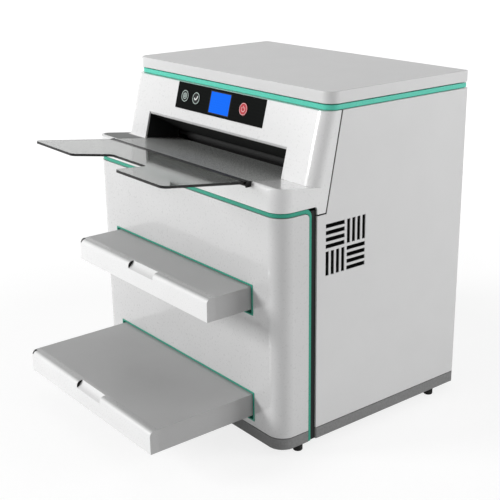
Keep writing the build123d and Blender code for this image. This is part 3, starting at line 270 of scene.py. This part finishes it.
def inked_line(name, points, width, place, material, body, slot, closed=False):
    """Line of ink of even width along points on a flat face."""
    count = len(points)
    points = [Vector(point) for point in points]
    vertices = []
    for index, point in enumerate(points):
        before = (point - points[index - 1]).normalized() if index or closed else None
        after = (points[(index + 1) % count] - point).normalized() if index < count - 1 or closed else None
        before, after = before or after, after or before
        along = (before + after).normalized()
        reach = width / 2 / max(along.dot(after), 0.5)
        across = Vector((-along.y, along.x)) * reach
        for side, level in ((1, ink_height), (-1, ink_height), (-1, -ink_sink), (1, -ink_sink)):
            spot = point + across * side
            vertices.append(place @ Vector((spot.x, spot.y, level)))
    runs = count if closed else count - 1
    faces = []
    for run in range(runs):
        here, there = 4 * run, 4 * ((run + 1) % count)
        for corner in range(4):
            step = (corner + 1) % 4
            faces.append((here + corner, here + step, there + step, there + corner))
    if not closed:
        faces += [(3, 2, 1, 0), (4 * count - 4, 4 * count - 3, 4 * count - 2, 4 * count - 1)]
    return new_piece(name, vertices, faces, material, body, slot)


def arc(radius, start=0.0, end=360.0, steps=48):
    """Points along an arc, in degrees."""
    turns = [math.radians(start + (end - start) * step / steps) for step in range(steps + (end - start < 360))]
    return [(radius * math.cos(turn), radius * math.sin(turn)) for turn in turns]


fascia_out = -Vector(next(joint for joint in frame["joints"] if joint["name"] == "menu_button_press")["axis"])
screen_place = face_place("display_screen", fascia_out)
window_ink = moulded("Black_window_ink", "#070808", "#0D0E0E", 0.4, 1.0, 0.01, 0.3, specular=0.12)
vertices = [screen_place @ Vector((x * width / 2, y * height / 2, level))
            for width, height in (border_outer, border_inner)
            for x, y in ((-1, -1), (1, -1), (1, 1), (-1, 1)) for level in (ink_height, -ink_sink)]
faces = []
for corner in range(4):
    here, there = 2 * corner, 2 * ((corner + 1) % 4)
    faces += [(here, there, there + 8, here + 8), (here + 1, here + 9, there + 9, there + 1),
              (here, here + 1, there + 1, there), (here + 8, there + 8, there + 9, here + 9)]
new_piece("display_border", vertices, faces, window_ink, "housing", "panel_black")


# Keys: three round caps that press square to the fascia.
# Hard-coated polycarbonate; the power cap is red and lit from behind, the other two are black.
# Their signs are pad-printed: a ring round each cap, and a dial, a tick and a power sign.

key_ring_radius = 0.0094
key_ring_width = 0.0011
dial_radius = 0.0048
dial_hub_radius = 0.0018
sign_width = 0.0013
tick_width = 0.0022
tick_points = [(-0.0046, 0.0004), (-0.0036, -0.0017), (-0.0014, -0.0026), (0.0012, -0.0016), (0.0032, 0.0010),
               (0.0046, 0.0042)]
power_arc_radius = 0.0042
power_gap_degrees = 42
power_bar_points = [(0, 0.0012), (0, 0.0056)]

key_black = moulded("Black_polycarbonate", "#0A0C0B", "#151716", 0.32, 1.6, 0.01, 0.4, specular=0.15)
finish_node(key_black, "menu_button", "select_button")
key_red = moulded("Red_polycarbonate", "#C4202E", "#B01C29", 0.3, 1.6, 0.01, 0.4, specular=0.25)
finish_node(key_red, "power_button")
# Ink: matt, slightly uneven in cover, with specks 0.6 mm wide.
pale_ink = moulded("Pale_grey_ink", "#C9DAD3", "#B4C6BF", 0.6, 0.6, 0.01, 0.2, specular=0.2)
white_ink = moulded("White_ink", "#F2F5F3", "#E2E6E4", 0.6, 0.6, 0.01, 0.2, specular=0.2)
pink_ink = moulded("Pink_ink", "#F7C3C3", "#E9AEB0", 0.6, 0.6, 0.01, 0.2, specular=0.2)

menu_face = face_place("menu_button", fascia_out)
for name, radius, width in (("menu_ring", key_ring_radius, key_ring_width), ("menu_dial", dial_radius, sign_width),
                            ("menu_hub", dial_hub_radius, sign_width)):
    inked_line(name, arc(radius), width, menu_face, pale_ink, "menu_key", "button_pale", True)

select_face = face_place("select_button", fascia_out)
inked_line("select_ring", arc(key_ring_radius), key_ring_width, select_face, pale_ink, "select_key", "button_pale",
           True)
inked_line("select_tick", tick_points, tick_width, select_face, white_ink, "select_key", "button_pale")

power_face = face_place("power_button", fascia_out)
power_arc = arc(power_arc_radius, 90 + power_gap_degrees, 450 - power_gap_degrees, 40)
inked_line("power_ring", arc(key_ring_radius), key_ring_width, power_face, pink_ink, "power_key", "button_red", True)
inked_line("power_arc", power_arc, sign_width, power_face, pink_ink, "power_key", "button_red")
inked_line("power_bar", power_bar_points, sign_width, power_face, pink_ink, "power_key", "button_red")


# Seams between the fascia and the side panels, darkened as painted shade.
# A black strip, 2.3 mm wide, laid in each seam and set back 0.7 mm, stands in for the shade there.
# It shows as a dark line up each side, level along the shelf and then leaning back with the fascia.

seam_width = 0.0023
seam_set_back = 0.0007
seam_lean = math.radians(11.4)
seam_start_y = -0.0292
seam_foot_y = -0.01179
seam_foot_z = 0.3933
seam_top_gap = 0.0002

seam_shade_strip = moulded("Black_seam_painted_shade", "#161616", "#202020", 0.85, 0.6, 0.05, 0.1, specular=0.1)
panel_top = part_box("right_side_panel")[1][2]
seam_top_y = seam_foot_y + (panel_top - seam_foot_z) * math.tan(seam_lean)
seam_line = [(seam_start_y, seam_foot_z), (seam_foot_y, seam_foot_z), (seam_top_y, panel_top - seam_top_gap)]
for name, side in (("left_seam_painted_shade", -1), ("right_seam_painted_shade", 1)):
    place = Matrix.Translation((side * (solid_box[1][0] - seam_set_back), 0, 0)) @ Matrix(
        ((0, 0, side), (side, 0, 0), (0, 1, 0))).to_4x4()
    inked_line(name, [(side * y, z) for y, z in seam_line], seam_width, place, seam_shade_strip, "housing",
               "black_plastic")


# Circuit boards: the key board behind the fascia and the control board on the chassis.
# Glass-epoxy laminate under green solder mask, with tracks on a 2.4 mm grid, drawn coarser than real ones.
# Parts that stand off the control board are black; the caps of its two capacitors are bare aluminium.

# Bands of a wave texture are this far apart at scale 1, in metres.
wave_pitch = math.tau / 20


def circuit_board(name):
    """Green board: tracks show as paler lines, broken up in blocks."""
    material, tree, output = new_material(name)
    place = add_node(tree, "ShaderNodeTexCoord").outputs["Object"]
    tracks = add_node(tree, "ShaderNodeTexWave", {"Vector": place, "Scale": 1000 / 2.4 * wave_pitch,
                                               "Distortion": 0.0}, bands_direction="Z")
    blocks = add_node(tree, "ShaderNodeTexVoronoi", {"Vector": place, "Scale": 1000 / 14.0}, distance="CHEBYCHEV")
    lines = add_node(tree, "ShaderNodeMath", {0: tracks.outputs["Fac"], 1: 0.6}, operation="GREATER_THAN")
    gate = add_node(tree, "ShaderNodeMath", {0: blocks.outputs["Distance"], 1: 0.35}, operation="LESS_THAN")
    copper = add_node(tree, "ShaderNodeMath", {0: lines.outputs[0], 1: gate.outputs[0]}, operation="MULTIPLY")
    tint = add_node(tree, "ShaderNodeMix", {"Factor": copper.outputs[0], "A": linear("#14532E"),
                                            "B": linear("#2C8450")}, data_type="RGBA")
    relief = add_node(tree, "ShaderNodeBump", {"Height": copper.outputs[0], "Distance": 0.00004, "Strength": 0.5})
    shader = add_node(tree, "ShaderNodeBsdfPrincipled", {"Base Color": tint.outputs["Result"], "Roughness": 0.3,
                                                         "IOR": 1.55, "Normal": relief.outputs[0]})
    tree.links.new(shader.outputs[0], output.inputs["Surface"])
    return material, tree, place, tint, shader


key_laminate = circuit_board("Green_glass_epoxy")[0]
finish_node(key_laminate, "key_board")

control_laminate, tree, place, tint, shader = circuit_board("Green_glass_epoxy_with_parts")
board_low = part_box("control_board")[0]
part_reach = 0.0138
cap_band = 0.0026
height = add_node(tree, "ShaderNodeSeparateXYZ", {0: place}).outputs["X"]
part = add_node(tree, "ShaderNodeMath", {0: height, 1: board_low[0] + part_reach}, operation="LESS_THAN")
cap = add_node(tree, "ShaderNodeMath", {0: height, 1: board_low[0] + cap_band}, operation="LESS_THAN")
body_tint = add_node(tree, "ShaderNodeMix", {"Factor": part.outputs[0], "A": tint.outputs["Result"],
                                             "B": linear("#17181A")}, data_type="RGBA")
cap_tint = add_node(tree, "ShaderNodeMix", {"Factor": cap.outputs[0], "A": body_tint.outputs["Result"],
                                            "B": linear("#C9CBCD")}, data_type="RGBA")
tree.links.new(cap_tint.outputs["Result"], shader.inputs["Base Color"])
tree.links.new(cap.outputs[0], shader.inputs["Metallic"])
finish_node(control_laminate, "control_board")


# Film guide plate and output tray.
# Cast acrylic, smoke grey; laser-cut edges are polished and look nearly black, because light runs along the sheet.
# The guide plate lies in the shelf; the tray's back edge is bonded to its hinge bar.

tray_slope = math.radians(7.5)
sheet_normal = (0, math.sin(tray_slope), math.cos(tray_slope))


def smoked_acrylic(name, colour, rim_colour, haze_mm, clearness, roughness):
    """Tinted clear sheet whose edge faces are dark, with a faint haze of fine scratches."""
    material, tree, output = new_material(name)
    coordinates = add_node(tree, "ShaderNodeTexCoord")
    lean = add_node(tree, "ShaderNodeVectorMath", {0: coordinates.outputs["Normal"], 1: sheet_normal},
                    operation="DOT_PRODUCT")
    flat = add_node(tree, "ShaderNodeMath", {0: lean.outputs["Value"]}, operation="ABSOLUTE")
    rim = add_node(tree, "ShaderNodeMath", {0: flat.outputs[0], 1: 0.6}, operation="LESS_THAN")
    scratches = add_node(tree, "ShaderNodeTexNoise", {"Vector": coordinates.outputs["Object"],
                                                      "Scale": 1000 / haze_mm, "Detail": 4.0})
    dull = add_node(tree, "ShaderNodeMapRange", {"Value": scratches.outputs["Fac"], "From Min": 0.35,
                                                 "From Max": 0.7, "To Min": roughness * 0.6,
                                                 "To Max": roughness * 1.5})
    tint = add_node(tree, "ShaderNodeMix", {"Factor": rim.outputs[0], "A": linear(colour), "B": linear(rim_colour)},
                    data_type="RGBA")
    clear = add_node(tree, "ShaderNodeMapRange", {"Value": rim.outputs[0], "To Min": clearness, "To Max": 0.1})
    relief = add_node(tree, "ShaderNodeBump", {"Height": scratches.outputs["Fac"], "Distance": 0.00001,
                                               "Strength": 0.3})
    shader = add_node(tree, "ShaderNodeBsdfPrincipled", {
        "Base Color": tint.outputs["Result"], "Roughness": dull.outputs[0], "IOR": 1.49,
        "Transmission Weight": clear.outputs[0], "Specular IOR Level": 0.3, "Normal": relief.outputs[0]})
    # Lamp light passes the sheet too, so that its shadow is a pale one.
    shadow = add_node(tree, "ShaderNodeMath", {0: add_node(tree, "ShaderNodeLightPath").outputs["Is Shadow Ray"],
                                               1: clear.outputs[0]}, operation="MULTIPLY")
    passed = add_node(tree, "ShaderNodeBsdfTransparent", {"Color": linear("#E4E5E4")})
    mix = add_node(tree, "ShaderNodeMixShader", {0: shadow.outputs[0], 1: shader.outputs[0], 2: passed.outputs[0]})
    tree.links.new(mix.outputs[0], output.inputs["Surface"])
    return material


tray_acrylic = smoked_acrylic("Smoked_acrylic_tray", "#8F918F", "#0C0D0C", 3.0, 1.0, 0.06)
finish_node(tray_acrylic, "output_tray")
# The guide plate is hazed underneath, so that it shows as a soft mid grey.
guide_acrylic = smoked_acrylic("Hazed_acrylic_guide", "#B4B6B4", "#2A2B2A", 1.6, 0.1, 0.3)
finish_node(guide_acrylic, "film_guide_plate")


# Painted shade on the left end of the shelf, beside the guide plate.
# A matt smoke-grey sheet, 0.17 mm thick, cut to the rounded corner of the shelf, stands in for the shade that lies
# there.
# Its grain is about 1 mm wide.

film_left = -0.2623
film_right = -0.1970
film_front = -0.0985
film_back = -0.0440
film_corner = 0.0235
foot_corner = 0.0200
shelf_high = 0.44662
shelf_front = -0.10475
film_thickness = 0.00017


def moved(points, x, y):
    """The points, moved in their plane."""
    return [(point[0] + x, point[1] + y) for point in points]


def slab(outline_points, far_points):
    """Vertices and faces of a closed slab between two outlines with as many points."""
    count = len(outline_points)
    sides = [(index, count + index, count + (index + 1) % count, (index + 1) % count) for index in range(count)]
    return outline_points + far_points, [tuple(range(count)), tuple(range(2 * count - 1, count - 1, -1))] + sides


wing_shade_sheet = moulded("Grey_sheet_painted_shade", "#8A8B8A", "#7C7D7C", 0.6, 1.0, 0.02, 0.1, cloud_mm=8.0, specular=0.2)
outline = [(film_right, film_back)]
outline += moved(arc(foot_corner, 270, 180, 6), film_left + foot_corner, film_back + foot_corner)
outline += moved(arc(film_corner, 180, 270, 6), film_left + film_corner, film_front + film_corner)
outline.append((film_right, film_front))
top_face, under_face = ([(x, y, shelf_high - (y - shelf_front) * math.tan(tray_slope) - depth) for x, y in outline]
                        for depth in (0.0, film_thickness))
new_piece("shelf_wing_painted_shade", *slab(top_face, under_face), wing_shade_sheet, "housing", "black_plastic")


# Hinge of the tray: a bar along the tray's back edge, and two ears with pins on the shelf front.
# Black acetal, moulded, with a soft sheen.
# The ears are screwed on from behind.

hinge_acetal = moulded("Black_acetal", "#0B0C0C", "#141515", 0.38, 1.2, 0.02, 0.4, specular=0.2)
finish_node(hinge_acetal, "tray_hinge_bar", "tray_ears")

# The bond line shows as a black band on the sheet, just in front of the bar.
band_width = 0.0065
band_ahead = 0.0056
band_end_gap = 0.0005
bar_low, bar_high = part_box("tray_hinge_bar")
tray_face = face_place("output_tray", sheet_normal)
bar_middle = tray_face.inverted() @ ((Vector(bar_low) + Vector(bar_high)) / 2)
band_line = [(x - tray_face.translation.x, bar_middle.y - band_ahead)
             for x in (bar_low[0] + band_end_gap, bar_high[0] - band_end_gap)]
inked_line("tray_bond_line", band_line, band_width, tray_face, hinge_acetal, "tray", "black_plastic")


# Cassettes: tub, front cap and lid of each drawer.
# Opaque satin grey ABS that keeps light from the film; the cap is white lacquer on its front, and over its round edge
# and on its top it is drawn in the tub's grey, as painted shade.
# The cap is welded to the tub and the lid is clipped on. A thin black sheet on the end wall of the scoop is painted
# shade; a small black tongue lies over the cap's round edge at its left end.

scoop_low_x = -0.0304
scoop_radius = 0.040
scoop_offset = 0.022
cap_round = 0.008
scoop_shade_thickness = 0.0003
scoop_shade_inset = 0.0002
tongue_width = 0.006
tongue_narrow_share = 0.4
tongue_start = 0.002
tongue_turns = (10, 30, 50, 70, 88)
cassette_grey_and_shade = "#B6B6B6"

cassette_abs = moulded("Cassette_grey_ABS", cassette_grey_and_shade, "#ACACAC", 0.4, 1.6, 0.02, 0.6, specular=0.4)
finish_node(cassette_abs, "upper_tub", "lower_tub", "upper_lid", "lower_lid")

cap_white_and_shade = moulded("Cassette_cap_white_and_shade", "#F3F3F3", "#EAEAEA", 0.3, 2.0, 0.01, 0.5, coat=0.5)
tree = cap_white_and_shade.node_tree
shader = next(node for node in tree.nodes if node.bl_idname == "ShaderNodeBsdfPrincipled")
lacquer = shader.inputs["Base Color"].links[0].from_socket
# The cap turns from white to the tub's grey as its faces turn up from the front: painted shade.
turned = add_node(tree, "ShaderNodeVectorMath", {0: add_node(tree, "ShaderNodeTexCoord").outputs["Normal"],
                                                 1: (0, -1, 0)}, operation="DOT_PRODUCT")
front_share = add_node(tree, "ShaderNodeMapRange", {"Value": turned.outputs["Value"], "From Min": 0.25,
                                                    "From Max": 0.75})
tint = add_node(tree, "ShaderNodeMix", {"Factor": front_share.outputs[0], "A": linear(cassette_grey_and_shade),
                                        "B": lacquer}, data_type="RGBA")
tree.links.new(tint.outputs["Result"], shader.inputs["Base Color"])
finish_node(cap_white_and_shade, "upper_front", "lower_front")

# Painted shade at the end of the scoop: a thin black sheet on the end wall, seen from the side between the cap's
# rounded corner and the hollow.
scoop_reach = math.sqrt(scoop_radius ** 2 - scoop_offset ** 2) - scoop_offset
hollow_start = math.degrees(math.atan2(-scoop_offset, scoop_reach + scoop_offset))
scoop_shade_outline = [(scoop_shade_inset, -scoop_reach)]
scoop_shade_outline += moved(arc(cap_round - scoop_shade_inset, 180, 90, 6), cap_round, -cap_round)
scoop_shade_outline.append((scoop_reach, -scoop_shade_inset))
scoop_shade_outline += moved(arc(scoop_radius, hollow_start, -90 - hollow_start, 8)[1:-1], -scoop_offset, scoop_offset)

for level in ("upper", "lower"):
    low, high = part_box(level + "_front")
    front, top = low[1], high[2]
    left_face, right_face = ([(x, front + depth, top + rise) for depth, rise in scoop_shade_outline]
                             for x in (scoop_low_x, scoop_low_x + scoop_shade_thickness))
    new_piece(level + "_scoop_painted_shade", *slab(left_face, right_face), black_abs, level + "_cassette", "black_plastic")
    # A small black tongue over the round edge at the cap's left end, widest at the top.
    vertices = []
    for index, turn_degrees in enumerate(tongue_turns):
        turn = math.radians(turn_degrees)
        widening = index / (len(tongue_turns) - 1)
        width = tongue_width * (tongue_narrow_share + (1 - tongue_narrow_share) * widening)
        for level_out in (-ink_sink, ink_height):
            radius = cap_round + level_out
            spot = (front + cap_round - radius * math.cos(turn), top - cap_round + radius * math.sin(turn))
            vertices += [(low[0] + tongue_start, *spot), (low[0] + tongue_start + width, *spot)]
    faces = [(0, 2, 3, 1)]
    last = 4 * len(tongue_turns) - 4
    for here in range(0, last, 4):
        faces += [(here, here + 1, here + 5, here + 4), (here + 2, here + 6, here + 7, here + 3),
                  (here, here + 4, here + 6, here + 2), (here + 1, here + 3, here + 7, here + 5)]
    faces += [(last, last + 1, last + 3, last + 2)]
    new_piece(level + "_corner_tongue", vertices, faces, black_abs, level + "_cassette", "black_plastic")


# Film: a stack of cut sheets in each cassette.
# Polyester base, 0.18 mm thick and tinted blue, with a smooth coated face.
# The sheet edges are drawn 1 mm apart so that they show.

film_polyester, tree, output = new_material("Blue_polyester_film")
place = add_node(tree, "ShaderNodeTexCoord").outputs["Object"]
layers = add_node(tree, "ShaderNodeTexWave", {"Vector": place, "Scale": 1000 / 1.0 * wave_pitch},
                  bands_direction="Z")
tint = add_node(tree, "ShaderNodeMix", {"Factor": layers.outputs["Fac"], "A": linear("#2F4F78"),
                                        "B": linear("#4A6F9C")}, data_type="RGBA")
relief = add_node(tree, "ShaderNodeBump", {"Height": layers.outputs["Fac"], "Distance": 0.0001, "Strength": 0.4})
shader = add_node(tree, "ShaderNodeBsdfPrincipled", {"Base Color": tint.outputs["Result"], "Roughness": 0.25,
                                                     "IOR": 1.6, "Normal": relief.outputs[0]})
tree.links.new(shader.outputs[0], output.inputs["Surface"])
finish_node(film_polyester, "upper_film", "lower_film")


# Sheet metal of the chassis: base plate, side plates, cassette rails, power supply case.
# Cold-rolled steel, electro-galvanised, folded after plating.
# The zinc keeps the rolling lines, and clouds from bluish to yellowish.

def bare_metal(name, colour, stained_colour, roughness, lay_mm, relief_mm, stain_mm=60.0):
    """Bare or plated metal: the lines that its working left, faint stains and a gloss that follows them."""
    material, tree, output = new_material(name)
    place = add_node(tree, "ShaderNodeTexCoord").outputs["Object"]
    lay = add_node(tree, "ShaderNodeVectorMath", {0: place, 1: [1000 / size for size in lay_mm]},
                   operation="MULTIPLY")
    lines = add_node(tree, "ShaderNodeTexNoise", {"Vector": lay.outputs[0], "Scale": 1.0, "Detail": 2.0})
    stains = add_node(tree, "ShaderNodeTexNoise", {"Vector": place, "Scale": 1000 / stain_mm, "Detail": 3.0})
    stain_share = add_node(tree, "ShaderNodeMapRange", {"Value": stains.outputs["Fac"], "From Min": 0.4,
                                                        "From Max": 0.7})
    tint = add_node(tree, "ShaderNodeMix", {"Factor": stain_share.outputs[0], "A": linear(colour),
                                            "B": linear(stained_colour)}, data_type="RGBA")
    dull = add_node(tree, "ShaderNodeMapRange", {"Value": lines.outputs["Fac"], "From Min": 0.3, "From Max": 0.7,
                                                 "To Min": roughness * 0.8, "To Max": roughness * 1.25})
    soft_edge = add_node(tree, "ShaderNodeBevel", {"Radius": 0.0003}, samples=4)
    relief = add_node(tree, "ShaderNodeBump", {"Height": lines.outputs["Fac"], "Distance": relief_mm / 1000,
                                               "Strength": 0.5, "Normal": soft_edge.outputs[0]})
    shader = add_node(tree, "ShaderNodeBsdfPrincipled", {
        "Base Color": tint.outputs["Result"], "Metallic": 1.0, "Roughness": dull.outputs[0],
        "Normal": relief.outputs[0]})
    tree.links.new(shader.outputs[0], output.inputs["Surface"])
    return material


zinc_sheet = bare_metal("Galvanised_sheet_steel", "#B9BDC1", "#ABA998", 0.38, (1.5, 50.0, 1.5), 0.01)
finish_node(zinc_sheet, "base_plate", "chassis_plates", "cassette_rails", "power_supply")


# Film guides: two bent sheets that lead the film from the cassettes to the head.
# Sheet steel with a black conductive paint, which keeps stray light and static from the film.
# They are riveted between the chassis plates.

guide_paint = moulded("Black_guide_paint", "#0C0D0D", "#171818", 0.55, 0.8, 0.02, 0.3, specular=0.2)
finish_node(guide_paint, "guide_outer", "guide_inner")


# Shafts: platen shaft, feed idler and motor pinion.
# Free-cutting steel, centreless ground, which leaves fine rings round the bar.
# They turn in the bronze bushes.

ground_steel = bare_metal("Ground_steel", "#A9ACAF", "#94969A", 0.24, (0.8, 30.0, 30.0), 0.005, 25.0)
finish_node(ground_steel, "platen_shaft", "feed_idler", "motor_pinion")


# Bushes: sintered bronze, pressed into the chassis plates and soaked in oil.
# The pores show as darker specks, 0.6 mm from one to the next.
# Their faces stay as they left the press.

sintered_bronze = bare_metal("Sintered_bronze", "#8A6A40", "#5E4528", 0.48, (0.6, 0.6, 0.6), 0.03, 4.0)
finish_node(sintered_bronze, "roller_bushes")


# Rubber on the platen, the feed and exit rollers and the two pick rollers.
# Black nitrile rubber, vulcanised on and ground true.
# The grinding leaves faint rings 0.7 mm apart.

roller_rubber = moulded("Ground_nitrile_rubber", "#161616", "#232323", 0.72, 0.7, 0.02, 0.3, specular=0.3)
finish_node(roller_rubber, "platen_rubber", "feed_roller", "exit_roller", "exit_idler", "upper_pick_roller",
            "lower_pick_roller")


# Gear and belt of the platen drive, and the motor.
# The gear is natural acetal, the belt is neoprene with a fabric face on its teeth.
# The motor has black enamelled laminations between two die-cast end caps.

natural_acetal = moulded("Natural_acetal", "#E6E2D6", "#D8D2C2", 0.4, 1.2, 0.01, 0.3)
finish_node(natural_acetal, "platen_gear")
belt_neoprene = moulded("Black_neoprene", "#121212", "#202020", 0.68, 0.5, 0.04, 0.3, specular=0.3)
finish_node(belt_neoprene, "drive_belt")

cap_length = 0.009
motor_low, motor_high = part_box("drive_motor")
motor_enamel, tree, output = new_material("Enamelled_motor")
place = add_node(tree, "ShaderNodeTexCoord").outputs["Object"]
along = add_node(tree, "ShaderNodeSeparateXYZ", {0: place}).outputs["X"]
inner = add_node(tree, "ShaderNodeMath", {0: along, 1: motor_low[0] + cap_length}, operation="LESS_THAN")
outer = add_node(tree, "ShaderNodeMath", {0: along, 1: motor_high[0] - cap_length}, operation="GREATER_THAN")
cap = add_node(tree, "ShaderNodeMath", {0: inner.outputs[0], 1: outer.outputs[0]}, operation="MAXIMUM")
# Laminations are 0.5 mm thick and drawn 1 mm thick.
stack = add_node(tree, "ShaderNodeTexWave", {"Vector": place, "Scale": 1000 / 1.0 * wave_pitch},
                 bands_direction="X")
tint = add_node(tree, "ShaderNodeMix", {"Factor": cap.outputs[0], "A": linear("#101011"), "B": linear("#A6A8AA")},
                data_type="RGBA")
dull = add_node(tree, "ShaderNodeMapRange", {"Value": stack.outputs["Fac"], "To Min": 0.35, "To Max": 0.55})
relief = add_node(tree, "ShaderNodeBump", {"Height": stack.outputs["Fac"], "Distance": 0.00005, "Strength": 0.4})
shader = add_node(tree, "ShaderNodeBsdfPrincipled", {
    "Base Color": tint.outputs["Result"], "Metallic": cap.outputs[0], "Roughness": dull.outputs[0],
    "Normal": relief.outputs[0]})
tree.links.new(shader.outputs[0], output.inputs["Surface"])
finish_node(motor_enamel, "drive_motor")


# Print head: a finned bar over the platen.
# Extruded aluminium, black anodised so that it sheds heat, with extrusion lines along its length.
# It is screwed between the chassis plates.

head_aluminium = bare_metal("Black_anodised_aluminium", "#1B1C1E", "#242527", 0.4, (60.0, 1.0, 1.0), 0.01)
finish_node(head_aluminium, "print_head")


# Fan: housing and rotor.
# Black glass-filled polyester, moulded, with a slight gloss.
# The housing is screwed to the rear cover; the rotor snaps onto its pin.

fan_polyester = moulded("Black_moulded_polyester", "#151617", "#202122", 0.42, 1.0, 0.02, 0.4)
finish_node(fan_polyester, "fan_housing", "fan_rotor")


# Rear cover: one flat sheet with the fan grille, the slots and the two socket cut-outs.
# Steel, powder-coated light grey; the coat has a soft peel about 1.6 mm wide and rounds every edge.
# Eight screws hold it to the chassis flanges.

powder_coat = moulded("Grey_powder_coat", "#BFC1C1", "#B5B7B8", 0.5, 1.6, 0.05, 0.4)
finish_node(powder_coat, "rear_cover")
plated_screw = bare_metal("Nickel_plated_screw", "#B7B8B4", "#A3A39C", 0.26, (3.0, 3.0, 0.7), 0.004, 8.0)
finish_node(plated_screw, "rear_screws")


# Mains inlet and rocker switch in the rear cover.
# Black flame-proof polyamide, moulded; the rocker carries a white bar for on and a white ring for off.
# Both snap into their cut-outs.

mark_radius = 0.0017
mark_width = 0.0007
on_face_outward = (0, 1.0, -0.03)
off_face_outward = (0, 0.953, 0.302)

inlet_polyamide = moulded("Black_polyamide", "#121313", "#1D1E1E", 0.45, 0.8, 0.02, 0.4)
finish_node(inlet_polyamide, "mains_inlet", "switch_bezel", "power_switch")
inked_line("rocker_on_mark", [(0, -mark_radius), (0, mark_radius)], mark_width,
           face_place("power_switch", on_face_outward), white_ink, "rocker", "black_plastic")
inked_line("rocker_off_mark", arc(mark_radius), mark_width,
           face_place("power_switch", off_face_outward), white_ink, "rocker", "black_plastic", True)


# Floor and light: a wide pale floor, a large soft lamp at the front left, weaker ones at the back right and above.
# To the camera, in mirrors and through clear sheets the floor glows white, and the shadow stays on it, faint.
# The glow takes over away from the object, where the lamps no longer reach.
# Lamp powers are set so that the front renders about as its colour is written.

floor_half = 15.0
shadow_reach = 0.6
glow_reach = 1.8
glow_near_share = 0.72
lamp_target = (0, 0, 0.25)
lamps = (("Front_lamp", (-1.9, -3.1, 1.6), 1.2, 95), ("Back_lamp", (2.7, 2.1, 1.2), 1.8, 48),
         ("Top_lamp", (-0.2, 0.2, 3.4), 2.5, 5))


def seen_directly(tree):
    """1 for rays that come from the camera, a mirror or a clear sheet."""
    rays = add_node(tree, "ShaderNodeLightPath")
    mirror = add_node(tree, "ShaderNodeMath", {0: rays.outputs["Is Camera Ray"], 1: rays.outputs["Is Glossy Ray"]},
                      operation="MAXIMUM")
    return add_node(tree, "ShaderNodeMath", {0: mirror.outputs[0], 1: rays.outputs["Is Transmission Ray"]},
                    operation="MAXIMUM").outputs[0]


mesh = bpy.data.meshes.new("Floor")
mesh.from_pydata([(x * floor_half, y * floor_half, 0) for x, y in ((-1, -1), (1, -1), (1, 1), (-1, 1))], [],
                 [(0, 1, 2, 3)])
floor = bpy.data.objects.new("Floor", mesh)
bpy.context.scene.collection.objects.link(floor)
floor_paint, tree, output = new_material("White_floor_paint")
matt = add_node(tree, "ShaderNodeBsdfDiffuse", {"Color": linear("#F4F4F4")})
glow = add_node(tree, "ShaderNodeEmission", {"Color": linear("#FFFFFF"), "Strength": 1.12})
place = add_node(tree, "ShaderNodeTexCoord").outputs["Object"]
distance = add_node(tree, "ShaderNodeVectorMath", {0: place}, operation="LENGTH")
glow_share = add_node(tree, "ShaderNodeMapRange", {"Value": distance.outputs["Value"], "From Min": shadow_reach,
                                                   "From Max": glow_reach, "To Min": glow_near_share,
                                                   "To Max": 1.0})
share = add_node(tree, "ShaderNodeMath", {0: seen_directly(tree), 1: glow_share.outputs[0]}, operation="MULTIPLY")
mix = add_node(tree, "ShaderNodeMixShader", {0: share.outputs[0], 1: matt.outputs[0], 2: glow.outputs[0]})
tree.links.new(mix.outputs[0], output.inputs["Surface"])
mesh.materials.append(floor_paint)

for name, place, size, power in lamps:
    lamp = bpy.data.lights.new(name, "AREA")
    lamp.size = size
    lamp.energy = power
    holder = bpy.data.objects.new(name, lamp)
    holder.location = place
    holder.rotation_euler = (Vector(lamp_target) - Vector(place)).to_track_quat("-Z", "Y").to_euler()
    bpy.context.scene.collection.objects.link(holder)

world = bpy.data.worlds.new("Studio_air")
world.use_nodes = True
tree = world.node_tree
tree.nodes.clear()
level = add_node(tree, "ShaderNodeMapRange", {"Value": seen_directly(tree), "To Min": 0.27, "To Max": 1.0})
air = add_node(tree, "ShaderNodeBackground", {"Color": linear("#FFFFFF"), "Strength": level.outputs[0]})
add_node(tree, "ShaderNodeOutputWorld", {"Surface": air.outputs[0]})
bpy.context.scene.world = world


# Camera: the photograph's viewpoint, to the right of the front and above the top cover.
# A long lens, so that upright edges stay nearly parallel.
# Its place, turns and lens were fitted to the object's edges in the photograph.

camera_place = (1.34696, -1.00309, 0.838644)
swing, tilt, roll = (0.909465, 1.240378, -0.015573)
focal_length_mm = 72.396
sensor_width_mm = 36.0

camera_data = bpy.data.cameras.new("Camera")
camera_data.lens = focal_length_mm
camera_data.sensor_width = sensor_width_mm
camera = bpy.data.objects.new("Camera", camera_data)
camera.matrix_world = (Matrix.Translation(camera_place) @ Matrix.Rotation(swing, 4, "Z")
                       @ Matrix.Rotation(tilt, 4, "X") @ Matrix.Rotation(roll, 4, "Z"))
bpy.context.scene.collection.objects.link(camera)
bpy.context.scene.camera = camera
bpy.context.scene.view_settings.view_transform = "Standard"
